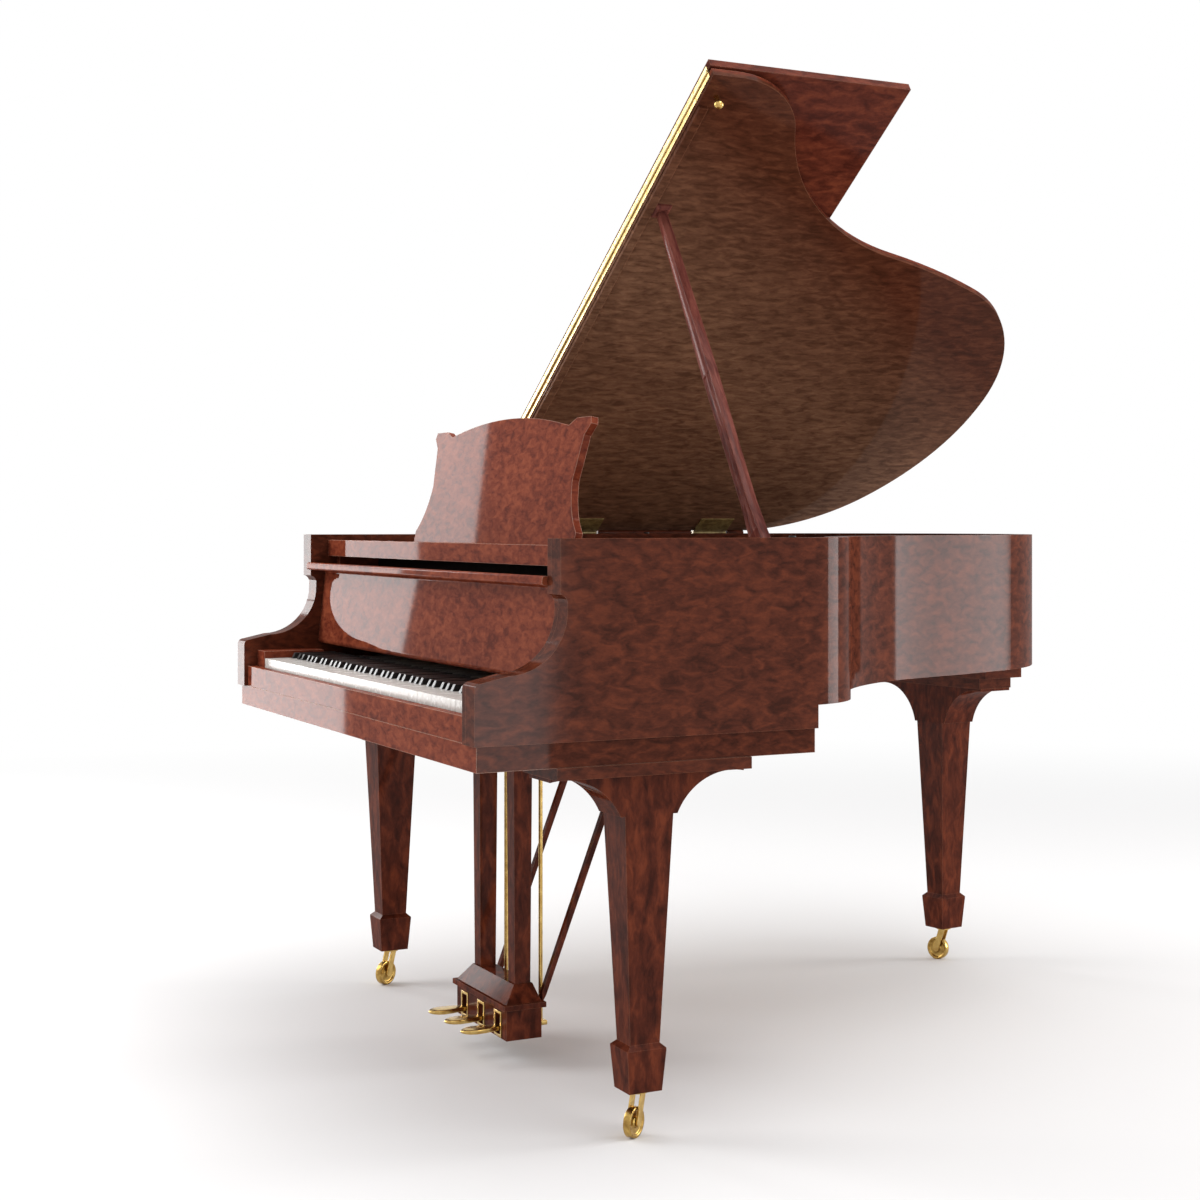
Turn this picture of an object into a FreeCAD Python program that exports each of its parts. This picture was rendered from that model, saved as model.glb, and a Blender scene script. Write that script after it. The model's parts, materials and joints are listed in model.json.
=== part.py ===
"""Baby grand piano: a case on three legs, keyboard, action, strung plate, open lid and pedal lyre."""
import FreeCAD, Part
import math
import os
import re
from FreeCAD import Placement, Rotation, Vector

# Driving dimensions in millimetres and degrees. X runs to the treble side, Y from the front of the
# arms to the tail, Z up from the floor.
sizes = {
    # Case
    "case_width": 1460, "case_length": 1636, "rim_top": 1000, "rim_bottom": 713, "front_bottom": 673,
    "front_depth": 624, "rim_thick": 40, "cheek_thick": 15, "cheek_length": 284, "glue_gap": 0.2,
    "arm_height": 100, "arm_rise": 10, "arm_nose": 12, "cove_radius": 101, "cove_depth": 12,
    "neck_height": 8, "bead_height": 18, "post_front": 146, "overrun": 60,
    "inner_rim_thick": 45, "inner_rim_top": 868, "belly_front": 525, "belly_thick": 40,
    "beam_width": 60, "beam_height": 77,
    # Keybed, slip and blocks
    "keybed_inset": 10, "keybed_front": 7, "keybed_back": 621, "keybed_bottom": 631,
    "slip_front": 8, "slip_thick": 18, "slip_top": 716, "key_block_width": 57.4, "block_top": 750,
    "block_back": 158,
    "side_gap": 0.5, "panel_gap": 1,
    # Keys and key frame
    "key_gap": 1, "key_front": 29, "key_head": 50, "key_back": 420,
    "key_top": 735, "key_height": 23, "sharp_rise": 12, "sharp_taper": 1.2, "sharp_length": 95,
    "balance_back": 260, "balance_width": 12, "balance_gap": 0.3, "frame_height": 12,
    "frame_front": 45, "frame_end": 14, "frame_rail": 60, "shift_room": 4,
    # Action
    "hammer_back": 470, "hammer_reach": 130, "shank_size": 6, "shank_drop": 20, "head_height": 34,
    "head_width": 9, "head_depth": 22, "rail_size": 16, "bracket_thick": 12, "bracket_gap": 2,
    "action_back": 405,
    # Fallboard
    "fall_pivot_y": 172, "fall_pivot_z": 770, "fall_height": 165, "fall_thick": 18, "lip_reach": 52,
    "lip_thick": 16, "lip_round": 5, "fall_lean": 6, "fall_pin_radius": 4, "fall_pin_length": 14,
    "pin_clearance": 0.05,
    # Music shelf and desk
    "shelf_front": 185, "shelf_back": 420, "shelf_top": 968, "shelf_thick": 13, "shelf_rail_depth": 20,
    "shelf_rail_drop": 2, "shelf_rail_rise": 20, "runner_width": 20, "runner_height": 24, "runner_back": 412,
    "desk_hinge_y": 313, "desk_inset": 302, "desk_height": 258, "desk_thick": 14, "desk_lean": 11,
    "desk_pivot_rise": 4, "desk_back_gap": 4, "desk_hinge_inset": 150, "desk_hinge_length": 60,
    "desk_leaf": 2, "desk_leaf_width": 30, "desk_knuckle": 3.2, "desk_pin_radius": 1.6,
    # Lid, flap and their hinges
    "lid_thick": 15, "lid_gap": 3.2, "lid_overhang": 18, "flap_front": 109,
    "lid_open": 33.87, "lid_pin_out": 6, "lid_edge_gap": 8,
    "butt_length": 90, "butt_leaf": 2.4, "butt_width": 60, "butt_drop": 45, "butt_radius": 5.5,
    "butt_pin_radius": 3, "knuckle_gap": 0.4, "strip_leaf": 1.6, "strip_gap": 0.3, "strip_radius": 3.4,
    "strip_rise": 3.8, "strip_pin_radius": 1.5, "strip_inset": 12, "strip_drop": 9, "strip_knuckles": 24,
    "batten_width": 18, "batten_thick": 8, "batten_start": 70, "batten_end": 60, "batten_inset": 4,
    "knob_inset": 52, "knob_back": 29, "knob_radius": 9, "knob_height": 20,
    # Prop
    "prop_tip_inset": 360, "prop_tip_back": 40, "prop_pivot_inset": 66, "prop_pivot_back": 13,
    "prop_pivot_drop": 28,
    "prop_thick": 18, "prop_base_width": 54, "prop_neck_width": 26, "prop_tip_width": 15,
    "prop_flare": 105, "prop_tip_gap": 1.2, "prop_pin_radius": 4, "prop_ear": 4, "prop_ear_gap": 0.4,
    "prop_boss_radius": 14, "cup_size": 34, "cup_height": 10,
    # Soundboard, plate and strings
    "board_thick": 8, "rib_width": 20, "rib_height": 18, "rib_count": 9, "plate_rise": 29,
    "plate_thick": 14, "plate_front": 285, "plate_gap": 4, "plate_flange": 26,
    "gap_front": 462, "strut_width": 24, "strut_clear": 3.4, "strut_height": 21, "strut_foot": 36,
    "capo_front": 448, "capo_depth": 10, "block_front": 290, "block_depth": 160,
    "block_thick": 33, "bridge_inset": 150, "bridge_width": 30,
    "bass_bridge_inset": 221, "bass_bridge_side": 390,
    "bass_bridge_length": 260, "string_rise": 11, "bass_rise": 14,
    "string_radius": 0.7, "bass_radius": 1.6, "hitch_inset": 75, "bass_stop_inset": 168,
    "treble_stop_inset": 226,
    "bass_side": 80, "bass_pitch": 9.6, "wire_rest": 0.3, "pin_front": 310, "pin_row": 24, "pin_radius": 3.4,
    "pin_height": 26, "treble_lean": 150, "bass_lean": 430, "string_span": 1500,
    # Dampers
    "damper_y": 505, "damper_width": 10, "damper_depth": 42, "damper_height": 18, "damper_gap": 0.3,
    "damper_wire": 1, "damper_wire_offset": 3.5, "tray_top": 800, "tray_height": 14, "tray_depth": 20,
    "tray_lift_room": 8,
    # Legs and casters
    "leg_inset": 79, "leg_y": 319, "rear_leg_inset": 105, "rear_leg_turn": -82,
    "plate_x": 146, "plate_y": 354, "plate_z": 20, "rear_plate_z": 25, "rear_plate_x": 96,
    "rear_block_x": 110, "rear_block_y": 330, "rear_block_shift": 40, "rear_block_z": 40,
    "rear_bracket_drop": 88, "leg_top_width": 88, "leg_ankle_width": 54,
    "leg_bracket_drop": 70, "foot_bottom": 78, "foot_width": 60, "foot_flare": 71, "foot_top": 146,
    "foot_chamfer": 12, "bracket_nose": 6, "bracket_step": 8, "wheel_radius": 26, "wheel_width": 13,
    "wheel_round": 3,
    "axle_radius": 3, "caster_trail": 15, "fork_thick": 3, "fork_gap": 1.2, "fork_width": 15,
    "fork_plate_radius": 17, "fork_plate_height": 5, "fork_play": 0.4, "stem_radius": 6, "stem_length": 45,
    # Lyre and pedals
    "lyre_width": 268, "lyre_front": 287, "lyre_depth": 71, "lyre_bottom": 46, "lyre_box_height": 58,
    "lyre_lip": 7, "lyre_lip_height": 10, "lyre_crown_height": 32, "lyre_crown_inset": 24,
    "post_spread": 182, "post_size": 38, "post_taper": 6, "lyre_head_height": 16, "lyre_head_width": 260,
    "lyre_head_depth": 74, "brace_size": 13, "brace_spread": 232, "brace_foot_y": 366, "brace_foot_z": 116,
    "brace_top_y": 556,
    "brace_pad": 40, "brace_pad_height": 10,
    "pedal_spread": 90, "pedal_width": 22, "pedal_thick": 9, "pedal_tip_y": 212, "pedal_tip_width": 30,
    "pedal_back_y": 384, "pedal_z": 64, "pedal_pivot_y": 322, "pedal_pin_radius": 4, "slot_width": 27,
    "slot_height": 38, "slot_bottom": 52, "rod_radius": 4, "rod_y": 374, "rod_seat": 0.3, "rod_bore_gap": 1.5,
    "rod_entry": 12, "rod_room": 14,
}

# Shares of the case: the lid's front edge and the lid hinges along its length, the rear leg across it, the
# width that its bends go with for a case of this length, and the plate's web against that width.
front_share = 0.32934
butt_shares = (0.49487, 0.70782)
rear_leg_share = -0.34657
slim_share = 0.89242
web_share = 0.0650685

# Sizes that follow from those above.
half_keys = sizes["case_width"] / 2 - sizes["rim_thick"] - sizes["cheek_thick"] - sizes["key_block_width"]
lid_joint = sizes["case_length"] * front_share
iron_bottom = sizes["inner_rim_top"] + sizes["board_thick"] + sizes["plate_rise"]
wire_height = iron_bottom + sizes["plate_thick"] + sizes["string_rise"]
strut_base = wire_height + sizes["bass_rise"] + sizes["bass_radius"] + sizes["strut_clear"]
treble_edge = sizes["case_width"] + sizes["lid_overhang"] + sizes["lid_pin_out"]
bend_base = min(sizes["case_width"], sizes["case_length"] * slim_share)
derived = {
    "white_pitch": (half_keys - sizes["shift_room"]) / 26,
    "frame_side": half_keys - sizes["shift_room"] - sizes["frame_end"],
    "plate_bottom": iron_bottom,
    "plate_web": bend_base * web_share,
    "shank_height": iron_bottom - sizes["block_thick"] - sizes["shank_drop"],
    "string_height": wire_height,
    "capo_height": sizes["string_rise"] - sizes["string_radius"] - sizes["wire_rest"],
    "bridge_height": sizes["plate_rise"] + sizes["plate_thick"] + sizes["string_rise"]
    - sizes["string_radius"] - sizes["wire_rest"],
    "strut_bottom": strut_base,
    "strut_top": strut_base + sizes["strut_height"],
    "desk_width": sizes["case_width"] - 2 * sizes["desk_inset"],
    "desk_hinge_x": sizes["case_width"] / 2 - sizes["desk_inset"] - sizes["desk_hinge_inset"],
    "lid_front": lid_joint,
    "flap_depth": lid_joint - sizes["flap_front"],
    "butt_front": sizes["case_length"] * butt_shares[0],
    "butt_back": sizes["case_length"] * butt_shares[1],
    "batten_stop": sizes["case_width"] - sizes["batten_end"],
    "knob_reach": treble_edge - sizes["knob_inset"],
    "knob_y": lid_joint + sizes["knob_back"],
    "prop_reach": treble_edge - sizes["prop_tip_inset"],
    "prop_tip_y": lid_joint + sizes["prop_tip_back"],
    "prop_pivot_x": sizes["case_width"] / 2 - sizes["prop_pivot_inset"],
    "prop_pivot_y": lid_joint + sizes["prop_pivot_back"],
    "prop_pivot_z": sizes["rim_top"] - sizes["prop_pivot_drop"],
    "bass_bridge_y": sizes["case_length"] - sizes["bass_bridge_inset"],
    "bass_bridge_left": sizes["bass_bridge_side"] - sizes["case_width"] / 2,
    "bass_stop": sizes["case_length"] - sizes["bass_stop_inset"],
    "treble_stop": sizes["case_length"] - sizes["treble_stop_inset"],
    "bass_left": sizes["bass_side"] - sizes["case_width"] / 2,
    "leg_x": sizes["case_width"] / 2 - sizes["leg_inset"],
    "rear_leg_x": sizes["case_width"] / 2 * rear_leg_share,
    "rear_leg_y": sizes["case_length"] - sizes["rear_leg_inset"],
}

doc = FreeCAD.newDocument("grand_piano")
sheet = doc.addObject("Spreadsheet::Sheet", "Sizes")
cells = {**sizes, **derived}
for row, (alias, number) in enumerate(cells.items(), 1):
    sheet.set("A%d" % row, alias)
    sheet.set("B%d" % row, str(number))
    sheet.setAlias("B%d" % row, alias)
doc.recompute()


class Cells:
    """Reads a cell of the sheet by its alias."""

    def __getattr__(self, alias):
        return float(sheet.get(alias))


s = Cells()
nodes = []


def bind(text):
    """Writes the sheet's name before each alias of an expression."""
    return re.sub(r"[a-z]\w*", lambda m: "Sizes." + m.group() if m.group() in cells else m.group(), text)


def box(name, x, y, z):
    """A block between two expressions on each axis."""
    made = doc.addObject("Part::Box", name)
    for prop, axis, (low, high) in zip(("Length", "Width", "Height"), "xyz", (x, y, z)):
        made.setExpression(prop, bind("(%s) - (%s)" % (high, low)))
        made.setExpression("Placement.Base." + axis, bind(low))
    return made


def bar(name, radius, length, base, direction):
    """A round bar whose radius and length are expressions."""
    made = doc.addObject("Part::Cylinder", name)
    made.setExpression("Radius", bind(radius))
    made.setExpression("Height", bind(length))
    made.Placement = Placement(base, Rotation(Vector(0, 0, 1), direction))
    return made


def prism(name, plane, edges, length, start=0.0):
    """A body padded from one closed outline on an origin plane of its own."""
    body = doc.addObject("PartDesign::Body", name)
    sketch = body.newObject("Sketcher::SketchObject", name + "_outline")
    support = next(f for f in body.Origin.OriginFeatures if f.Role == plane)
    sketch.AttachmentSupport = (support, [""])
    sketch.MapMode = "FlatFace"
    sketch.AttachmentOffset = Placement(Vector(0, 0, start), Rotation())
    sketch.addGeometry(edges)
    pad = body.newObject("PartDesign::Pad", name + "_pad")
    pad.Profile = sketch
    pad.setExpression("Length", bind(length))
    sketch.Visibility = False
    return body


def boolean(kind, name, base, tools):
    """Cut, fuse or common of document objects."""
    if kind == "Part::Cut":
        made = doc.addObject(kind, name)
        made.Base = base
        made.Tool = tools[0] if len(tools) == 1 else gather(name + "_tools", tools)
        return made
    made = doc.addObject(kind, name)
    made.Shapes = [base] + list(tools)
    return made


def cut(name, base, *tools):
    return boolean("Part::Cut", name, base, tools)


def fuse(name, base, *more):
    return boolean("Part::MultiFuse", name, base, more)


def common(name, base, *more):
    return boolean("Part::MultiCommon", name, base, more)


def gather(name, items):
    made = doc.addObject("Part::Compound", name)
    made.Links = list(items)
    return made


def solids(name, shapes):
    """Many like solids that no single feature makes, such as keys or strings."""
    made = doc.addObject("Part::Feature", name)
    made.Shape = Part.makeCompound(shapes)
    return made


def node(label, *items, turn=None):
    """One sub-part: its solids, its label and its place in the part's frame."""
    made = gather(label + "_node", items)
    made.Label = label
    made.Placement = to_frame if turn is None else to_frame * turn
    nodes.append(made)


def about(point, axis, degrees):
    """Placement that turns about an axis through a point."""
    return Placement(Vector(0, 0, 0), Rotation(axis, degrees), point)


def line(a, b):
    return Part.LineSegment(Vector(*a, 0), Vector(*b, 0))


def arc(a, middle, b):
    return Part.Arc(Vector(*a, 0), Vector(*middle, 0), Vector(*b, 0))


def solid_block(low, high):
    return Part.makeBox(*[b - a for a, b in zip(low, high)], Vector(*low))


half_width = s.case_width / 2
inner_half = half_width - s.rim_thick
cheek_half = inner_half - s.cheek_thick
lid_tail = s.case_length + s.lid_overhang
lid_pin = Vector(-half_width - s.lid_pin_out, 0, s.rim_top + s.lid_gap / 2)
lid_under = s.rim_top + s.lid_gap
lid_upper = lid_under + s.lid_thick
lid_turn = about(lid_pin, Vector(0, -1, 0), s.lid_open)
strip_axis_z = lid_upper + s.strip_rise
flap_turn = about(Vector(0, s.lid_front, strip_axis_z), Vector(1, 0, 0), -180)

# The origin lies on the floor under the middle of the open piano's box. The folded flap's upper bass
# corner reaches furthest to the bass side, and the lid's tail furthest back.
open_angle = math.radians(s.lid_open)
flap_high = strip_axis_z + s.strip_rise + s.lid_thick - lid_pin.z
bass_reach = -lid_pin.x - s.lid_edge_gap * math.cos(open_angle) + flap_high * math.sin(open_angle)
to_frame = Placement(Vector((bass_reach - half_width) / 2, -lid_tail / 2, 0), Rotation())

# Degrees that the case turns at each bend and its radius as a share of the case, from the treble cheek round
# to the bass side: shoulder, waist, hollow, flank, haunch, the two halves of the tail, and the bass corner.
bend_shares = ((68, 0.112449), (-22.75, 0.375023), (-30.5, 0.424177), (9.75, 1.116313), (23.25, 0.235337),
               (42.25, 0.306441), (37.25, 0.407035), (52.75, 0.253283))


def case_path(outset, front, treble=0.0):
    """Edges of the case outline moved outwards by outset, from the treble front round to the bass front.

    treble is how far the treble side and tail stand out beyond that, as the lid's edge does."""
    move = outset + treble
    arcs = []
    heading = 90.0
    for turn, share in bend_shares:
        sign = 1 if turn > 0 else -1
        size = share * bend_base + sign * move
        arcs.append((heading, heading + turn, sign * size))
        heading += turn

    def point_at(angle):
        return math.sin(math.radians(angle)), -math.cos(math.radians(angle))

    def step(a, b, radius):
        (ax, ay), (bx, by) = point_at(a), point_at(b)
        return radius * (bx - ax), radius * (by - ay)

    flat_after = [b for a, b, radius in arcs].index(180.0)
    start_x = half_width + move
    end_x = -half_width - outset
    flat = start_x - end_x + sum(step(*each)[0] for each in arcs)
    rise = sum(step(*each)[1] for each in arcs[:flat_after + 1])
    at = (start_x, s.case_length + move - rise)
    edges = [line((start_x, front), at)]
    for index, (a, b, radius) in enumerate(arcs):
        dx, dy = step(a, b, radius)
        mx, my = step(a, (a + b) / 2, radius)
        to = (at[0] + dx, at[1] + dy)
        edges.append(arc(at, (at[0] + mx, at[1] + my), to))
        at = to
        if index == flat_after:
            to = (at[0] - flat, at[1])
            edges.append(line(at, to))
            at = to
    edges.append(line(at, (at[0], front)))
    return edges


def case_loop(outset, front, treble=0.0):
    """The outline closed by a straight front edge."""
    edges = case_path(outset, front, treble)
    return edges + [line((-half_width - outset, front), (half_width + outset + treble, front))]


def case_face(outset, front):
    """The outline's face behind a straight front edge, which may lie past the start of the first bend."""
    whole = Part.Face(Part.Wire([e.toShape() for e in case_loop(outset, 0)]))
    return whole.cut(Part.makePlane(2 * s.case_width, front, Vector(-s.case_width, 0, 0))) if front else whole


def case_band(name, outset, thick, length, start):
    """A band of the case outline, open at the front."""
    front = 0
    outer = case_path(outset, front)
    inner = case_path(outset - thick, front)
    ends = [line((half_width + outset, front), (half_width + outset - thick, front)),
            line((-half_width - outset, front), (-half_width - outset + thick, front))]
    return prism(name, "XY_Plane", outer + inner + ends, length, start)


def build_case():
    arm_z = s.front_bottom + s.arm_height
    cove_y = s.post_front + s.cove_depth - s.cove_radius
    cove_z = arm_z + s.arm_rise + s.cove_radius
    slant = math.sqrt(0.5)
    post = s.post_front + s.cove_depth
    neck = cove_z + s.neck_height
    crown = neck + s.bead_height
    bead_middle = (s.post_front + s.cove_depth * slant, neck + s.bead_height * slant)
    nose_middle = (s.arm_nose * (1 - slant), arm_z - s.arm_nose * (1 - slant))
    above = s.rim_top + s.overrun
    profile = [
        arc((0, arm_z - s.arm_nose), nose_middle, (s.arm_nose, arm_z)),
        line((s.arm_nose, arm_z), (cove_y, cove_z - s.cove_radius)),
        arc((cove_y, cove_z - s.cove_radius),
            (cove_y + s.cove_radius * slant, cove_z - s.cove_radius * slant), (post, cove_z)),
        line((post, cove_z), (post, neck)),
        arc((post, neck), bead_middle, (s.post_front, crown)),
        line((s.post_front, crown), (s.post_front, above)),
        line((s.post_front, above), (-s.overrun, above)),
        line((-s.overrun, above), (-s.overrun, arm_z - s.arm_nose)),
        line((-s.overrun, arm_z - s.arm_nose), (0, arm_z - s.arm_nose)),
    ]
    arm_space = prism("arm_space", "YZ_Plane", profile, "case_width + 2 * overrun", -half_width - s.overrun)
    rim = case_band("rim_band", 0, s.rim_thick, "rim_top - front_bottom", s.front_bottom)
    step_space = box("step_space", ("-case_width / 2 - overrun", "case_width / 2 + overrun"),
                     ("front_depth", "case_length + overrun"), ("front_bottom - overrun", "rim_bottom"))
    node("outer_rim", cut("rim_cut", rim, arm_space, step_space))

    cheeks = []
    for side, sign in (("left", -1), ("right", 1)):
        near = "%d * (case_width / 2 - rim_thick) - %s" % (sign, "0" if sign < 0 else "cheek_thick")
        cheek = box("cheek_" + side, (near, near + " + cheek_thick"), ("0", "cheek_length"),
                    ("front_bottom", "rim_top"))
        bore = bar("cheek_bore_" + side, "fall_pin_radius + pin_clearance", "cheek_thick + 2 * overrun",
                   Vector(sign * inner_half - s.cheek_thick - s.overrun, s.fall_pivot_y, s.fall_pivot_z),
                   Vector(1, 0, 0))
        cheeks.append(cut("cheek_cut_" + side, cheek, arm_space, bore))
    node("arm_cheeks", *cheeks)

    liner = case_band("inner_rim_band", -s.rim_thick - s.glue_gap, s.inner_rim_thick,
                      "inner_rim_top - rim_bottom", s.rim_bottom)
    ahead = box("belly_space", ("-case_width", "case_width"), ("-overrun", "belly_front + belly_thick"),
                ("rim_bottom - overrun", "inner_rim_top + overrun"))
    node("inner_rim", cut("inner_rim_cut", liner, ahead))
    rail = case_face(-s.rim_thick - s.glue_gap, s.belly_front).common(
        Part.makePlane(s.case_width, s.belly_thick, Vector(-half_width, s.belly_front, 0)))
    rail = rail.extrude(Vector(0, 0, s.inner_rim_top - s.front_bottom))
    rail.translate(Vector(0, 0, s.front_bottom))
    node("belly_rail", solids("belly_rail_plank", rail.Solids))
    beams = []
    beam_shares = ((-0.52, -0.40), (-0.12, -0.20), (0.40, -0.02))
    inside = case_face(-s.rim_thick - s.inner_rim_thick - 2 * s.glue_gap, s.belly_front + s.belly_thick)
    for front_share, back_share in beam_shares:
        a, b = front_share * half_width, back_share * half_width
        w = s.beam_width / 2
        y0, y1 = s.belly_front + s.belly_thick, s.case_length
        strip = Part.Face(Part.makePolygon([Vector(a - w, y0, 0), Vector(a + w, y0, 0), Vector(b + w, y1, 0),
                                            Vector(b - w, y1, 0), Vector(a - w, y0, 0)]))
        beam = strip.common(inside).Faces[0].extrude(Vector(0, 0, s.beam_height))
        beam.translate(Vector(0, 0, s.rim_bottom))
        beams.append(beam)
    node("case_beams", solids("beams", beams))

    keybed = box("keybed_block", ("-case_width / 2 + keybed_inset", "case_width / 2 - keybed_inset"),
                 ("keybed_front", "keybed_back"), ("keybed_bottom", "front_bottom"))
    bores = [bar("rod_bore_%d" % i, "rod_radius + rod_bore_gap", "rod_entry + rod_room + overrun",
                 Vector(i * s.pedal_spread, s.rod_y, s.keybed_bottom - s.overrun), Vector(0, 0, 1))
             for i in (-1, 0, 1)]
    node("keybed", cut("keybed_cut", keybed, *bores))
    node("key_slip", box("slip", ("-(case_width / 2 - rim_thick - cheek_thick - side_gap)",
                                  "case_width / 2 - rim_thick - cheek_thick - side_gap"),
                         ("slip_front", "slip_front + slip_thick"), ("front_bottom", "slip_top")))
    keys_half = "(26 * white_pitch + shift_room)"
    outer = "(case_width / 2 - rim_thick - cheek_thick - glue_gap)"
    node("key_blocks",
         box("block_left", ("-" + outer, "-" + keys_half), ("key_front", "block_back"),
             ("front_bottom", "block_top")),
         box("block_right", (keys_half, outer), ("key_front", "block_back"), ("front_bottom", "block_top")))


key_count = 88
octave_pattern = "wbwwbwbwwbwb"


def key_places():
    """Colour, left side of the narrow tail and left side of the head of each key, from the lowest A up."""
    whites = 0
    strip = 7 * s.white_pitch / 12
    left = -26 * s.white_pitch
    first = left + 2 * s.white_pitch - 3 * strip
    for number in range(key_count):
        white = octave_pattern[number % 12] == "w"
        yield white, first + number * strip, left + whites * s.white_pitch
        whites += white


def build_keys():
    strip = 7 * s.white_pitch / 12
    bottom = s.key_top - s.key_height
    head_back = s.key_front + s.key_head
    gap = s.key_gap / 2
    groups = {"white_keys_odd": [], "white_keys_even": [], "black_keys": []}
    next_white = {"white_keys_odd": "white_keys_even", "white_keys_even": "white_keys_odd"}
    label = "white_keys_even"
    for white, tail, head in key_places():
        start = head_back + s.key_gap
        if white:
            label = next_white[label]
            front = solid_block((head + gap, s.key_front, bottom),
                                (head + s.white_pitch - gap, head_back, s.key_top))
            neck = solid_block((max(head, tail) + gap, head_back - gap, bottom),
                               (min(head + s.white_pitch, tail + strip) - gap, start + gap, s.key_top))
            stem = solid_block((tail + gap, start, bottom), (tail + strip - gap, s.key_back, s.key_top))
            groups[label].append(front.fuse([neck, stem]).removeSplitter().Solids[0])
            continue
        stem = solid_block((tail + gap, start, bottom), (tail + strip - gap, s.key_back, s.key_top))
        foot = Part.makePolygon([Vector(x, y, s.key_top) for x, y in (
            (tail + gap, start), (tail + strip - gap, start), (tail + strip - gap, start + s.sharp_length),
            (tail + gap, start + s.sharp_length), (tail + gap, start))])
        t, f = s.sharp_taper, s.sharp_rise / 2
        cap = Part.makePolygon([Vector(x, y, s.key_top + s.sharp_rise) for x, y in (
            (tail + gap + t, start + f), (tail + strip - gap - t, start + f),
            (tail + strip - gap - t, start + s.sharp_length), (tail + gap + t, start + s.sharp_length),
            (tail + gap + t, start + f))])
        groups["black_keys"].append(Part.makeLoft([foot, cap], True, True).fuse(stem).Solids[0])
    for label, shapes in groups.items():
        node(label, solids(label + "_set", shapes))


def build_action():
    base = "front_bottom"
    top = "front_bottom + frame_height"
    key_bottom = "key_top - key_height"
    side = "26 * white_pitch"
    front = box("front_rail", ("-" + side, side), ("frame_front", "frame_front + frame_rail"), (base, top))
    middle = box("middle_rail", ("-" + side, side), ("balance_back - frame_rail / 2",
                 "balance_back + frame_rail / 2"), (base, top))
    back = box("back_rail", ("-" + side, side), ("key_back - frame_rail", "key_back"), (base, top))
    ends = [box("frame_end_%s" % name, (low, high), ("frame_front", "key_back"), (base, top))
            for name, low, high in (("left", "-" + side, "-frame_side"), ("right", "frame_side", side))]
    balance = box("balance_strip", ("-" + side, side), ("balance_back - balance_width / 2",
                  "balance_back + balance_width / 2"), (base, key_bottom + " - balance_gap"))
    node("key_frame", fuse("key_frame_fuse", front, middle, back, balance, *ends))

    hammers = []
    size = s.shank_size / 2
    for x, lean in string_starts():
        x += lean * (s.hammer_back - s.pin_front)
        shank = solid_block((x - size, s.hammer_back - s.hammer_reach, s.shank_height - size),
                            (x + size, s.hammer_back + size, s.shank_height + size))
        w, d = s.head_width / 2, s.head_depth / 2
        low, high = s.shank_height - s.shank_size, s.shank_height + s.head_height
        y = s.hammer_back
        outline = [line((y - d, low), (y + d, low)), line((y + d, low), (y + d, high - d)),
                   arc((y + d, high - d), (y, high), (y - d, high - d)), line((y - d, high - d),
                       (y - d, low))]
        face = Part.Face(Part.Wire([e.toShape() for e in outline]))
        head = face.extrude(Vector(0, 0, 2 * w))
        head.Placement = Placement(Vector(x - w, 0, 0), Rotation(Vector(1, 1, 1), 120))
        hammers.append(shank.fuse(head).Solids[0])
    node("hammers", solids("hammer_set", hammers))

    rail_front = "hammer_back - hammer_reach - rail_size"
    rail_low = "shank_height - rail_size / 2"
    reach = "26 * white_pitch + bracket_gap + bracket_thick / 2"
    spread = [box("rail_end_" + name, ("-(%s)" % reach, reach), span, height)
              for name, span, height in (
                  ("flange", (rail_front, rail_front + " + rail_size"),
                   (rail_low, rail_low + " + rail_size")),
                  ("rest", ("action_back - rail_size", "action_back"),
                   ("shank_height - shank_size / 2 - rail_size - balance_gap",
                    "shank_height - shank_size / 2 - balance_gap")))]
    brackets = [box("action_bracket_%s" % name, (low, high), (rail_front, "action_back"),
                    (base, "shank_height + rail_size / 2"))
                for name, low, high in (
                    ("left", "-(%s + bracket_thick / 2)" % reach, "-(%s - bracket_thick / 2)" % reach),
                    ("right", "%s - bracket_thick / 2" % reach, "%s + bracket_thick / 2" % reach))]
    node("action_frame", fuse("action_fuse", *brackets, *spread))


def build_fallboard():
    t, lip, top = s.fall_thick / 2, s.lip_reach, s.fall_height
    r, slant = s.lip_round, math.sqrt(0.5)
    low = top - s.lip_thick
    outline = [
        line((t, -t), (t, top)), line((t, top), (-lip + r, top)),
        arc((-lip + r, top), (-lip + r * (1 - slant), top - r * (1 - slant)), (-lip, top - r)),
        line((-lip, top - r), (-lip, low + r)),
        arc((-lip, low + r), (-lip + r * (1 - slant), low + r * (1 - slant)), (-lip + r, low)),
        line((-lip + r, low), (-t - r, low)),
        arc((-t - r, low), (-t - r * (1 - slant), low - r * (1 - slant)), (-t, low - r)),
        line((-t, low - r), (-t, 0)),
        arc((-t, 0), (-t * slant, -t * slant), (0, -t)), line((0, -t), (t, -t))]
    panel = prism("fallboard_panel", "YZ_Plane", outline,
                  "case_width - 2 * rim_thick - 2 * cheek_thick - 2 * panel_gap", -cheek_half + s.panel_gap)
    pivot = Vector(0, s.fall_pivot_y, s.fall_pivot_z)
    place = Placement(pivot, Rotation(Vector(1, 0, 0), -s.fall_lean))
    node("fallboard", panel, turn=place)
    pins = [bar("fall_pin_" + side, "fall_pin_radius", "fall_pin_length", Vector(x, 0, 0), Vector(sign, 0, 0))
            for side, sign, x in (("left", -1, -cheek_half + s.panel_gap),
                                  ("right", 1, cheek_half - s.panel_gap))]
    node("fallboard_pins", *pins, turn=place)


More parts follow.
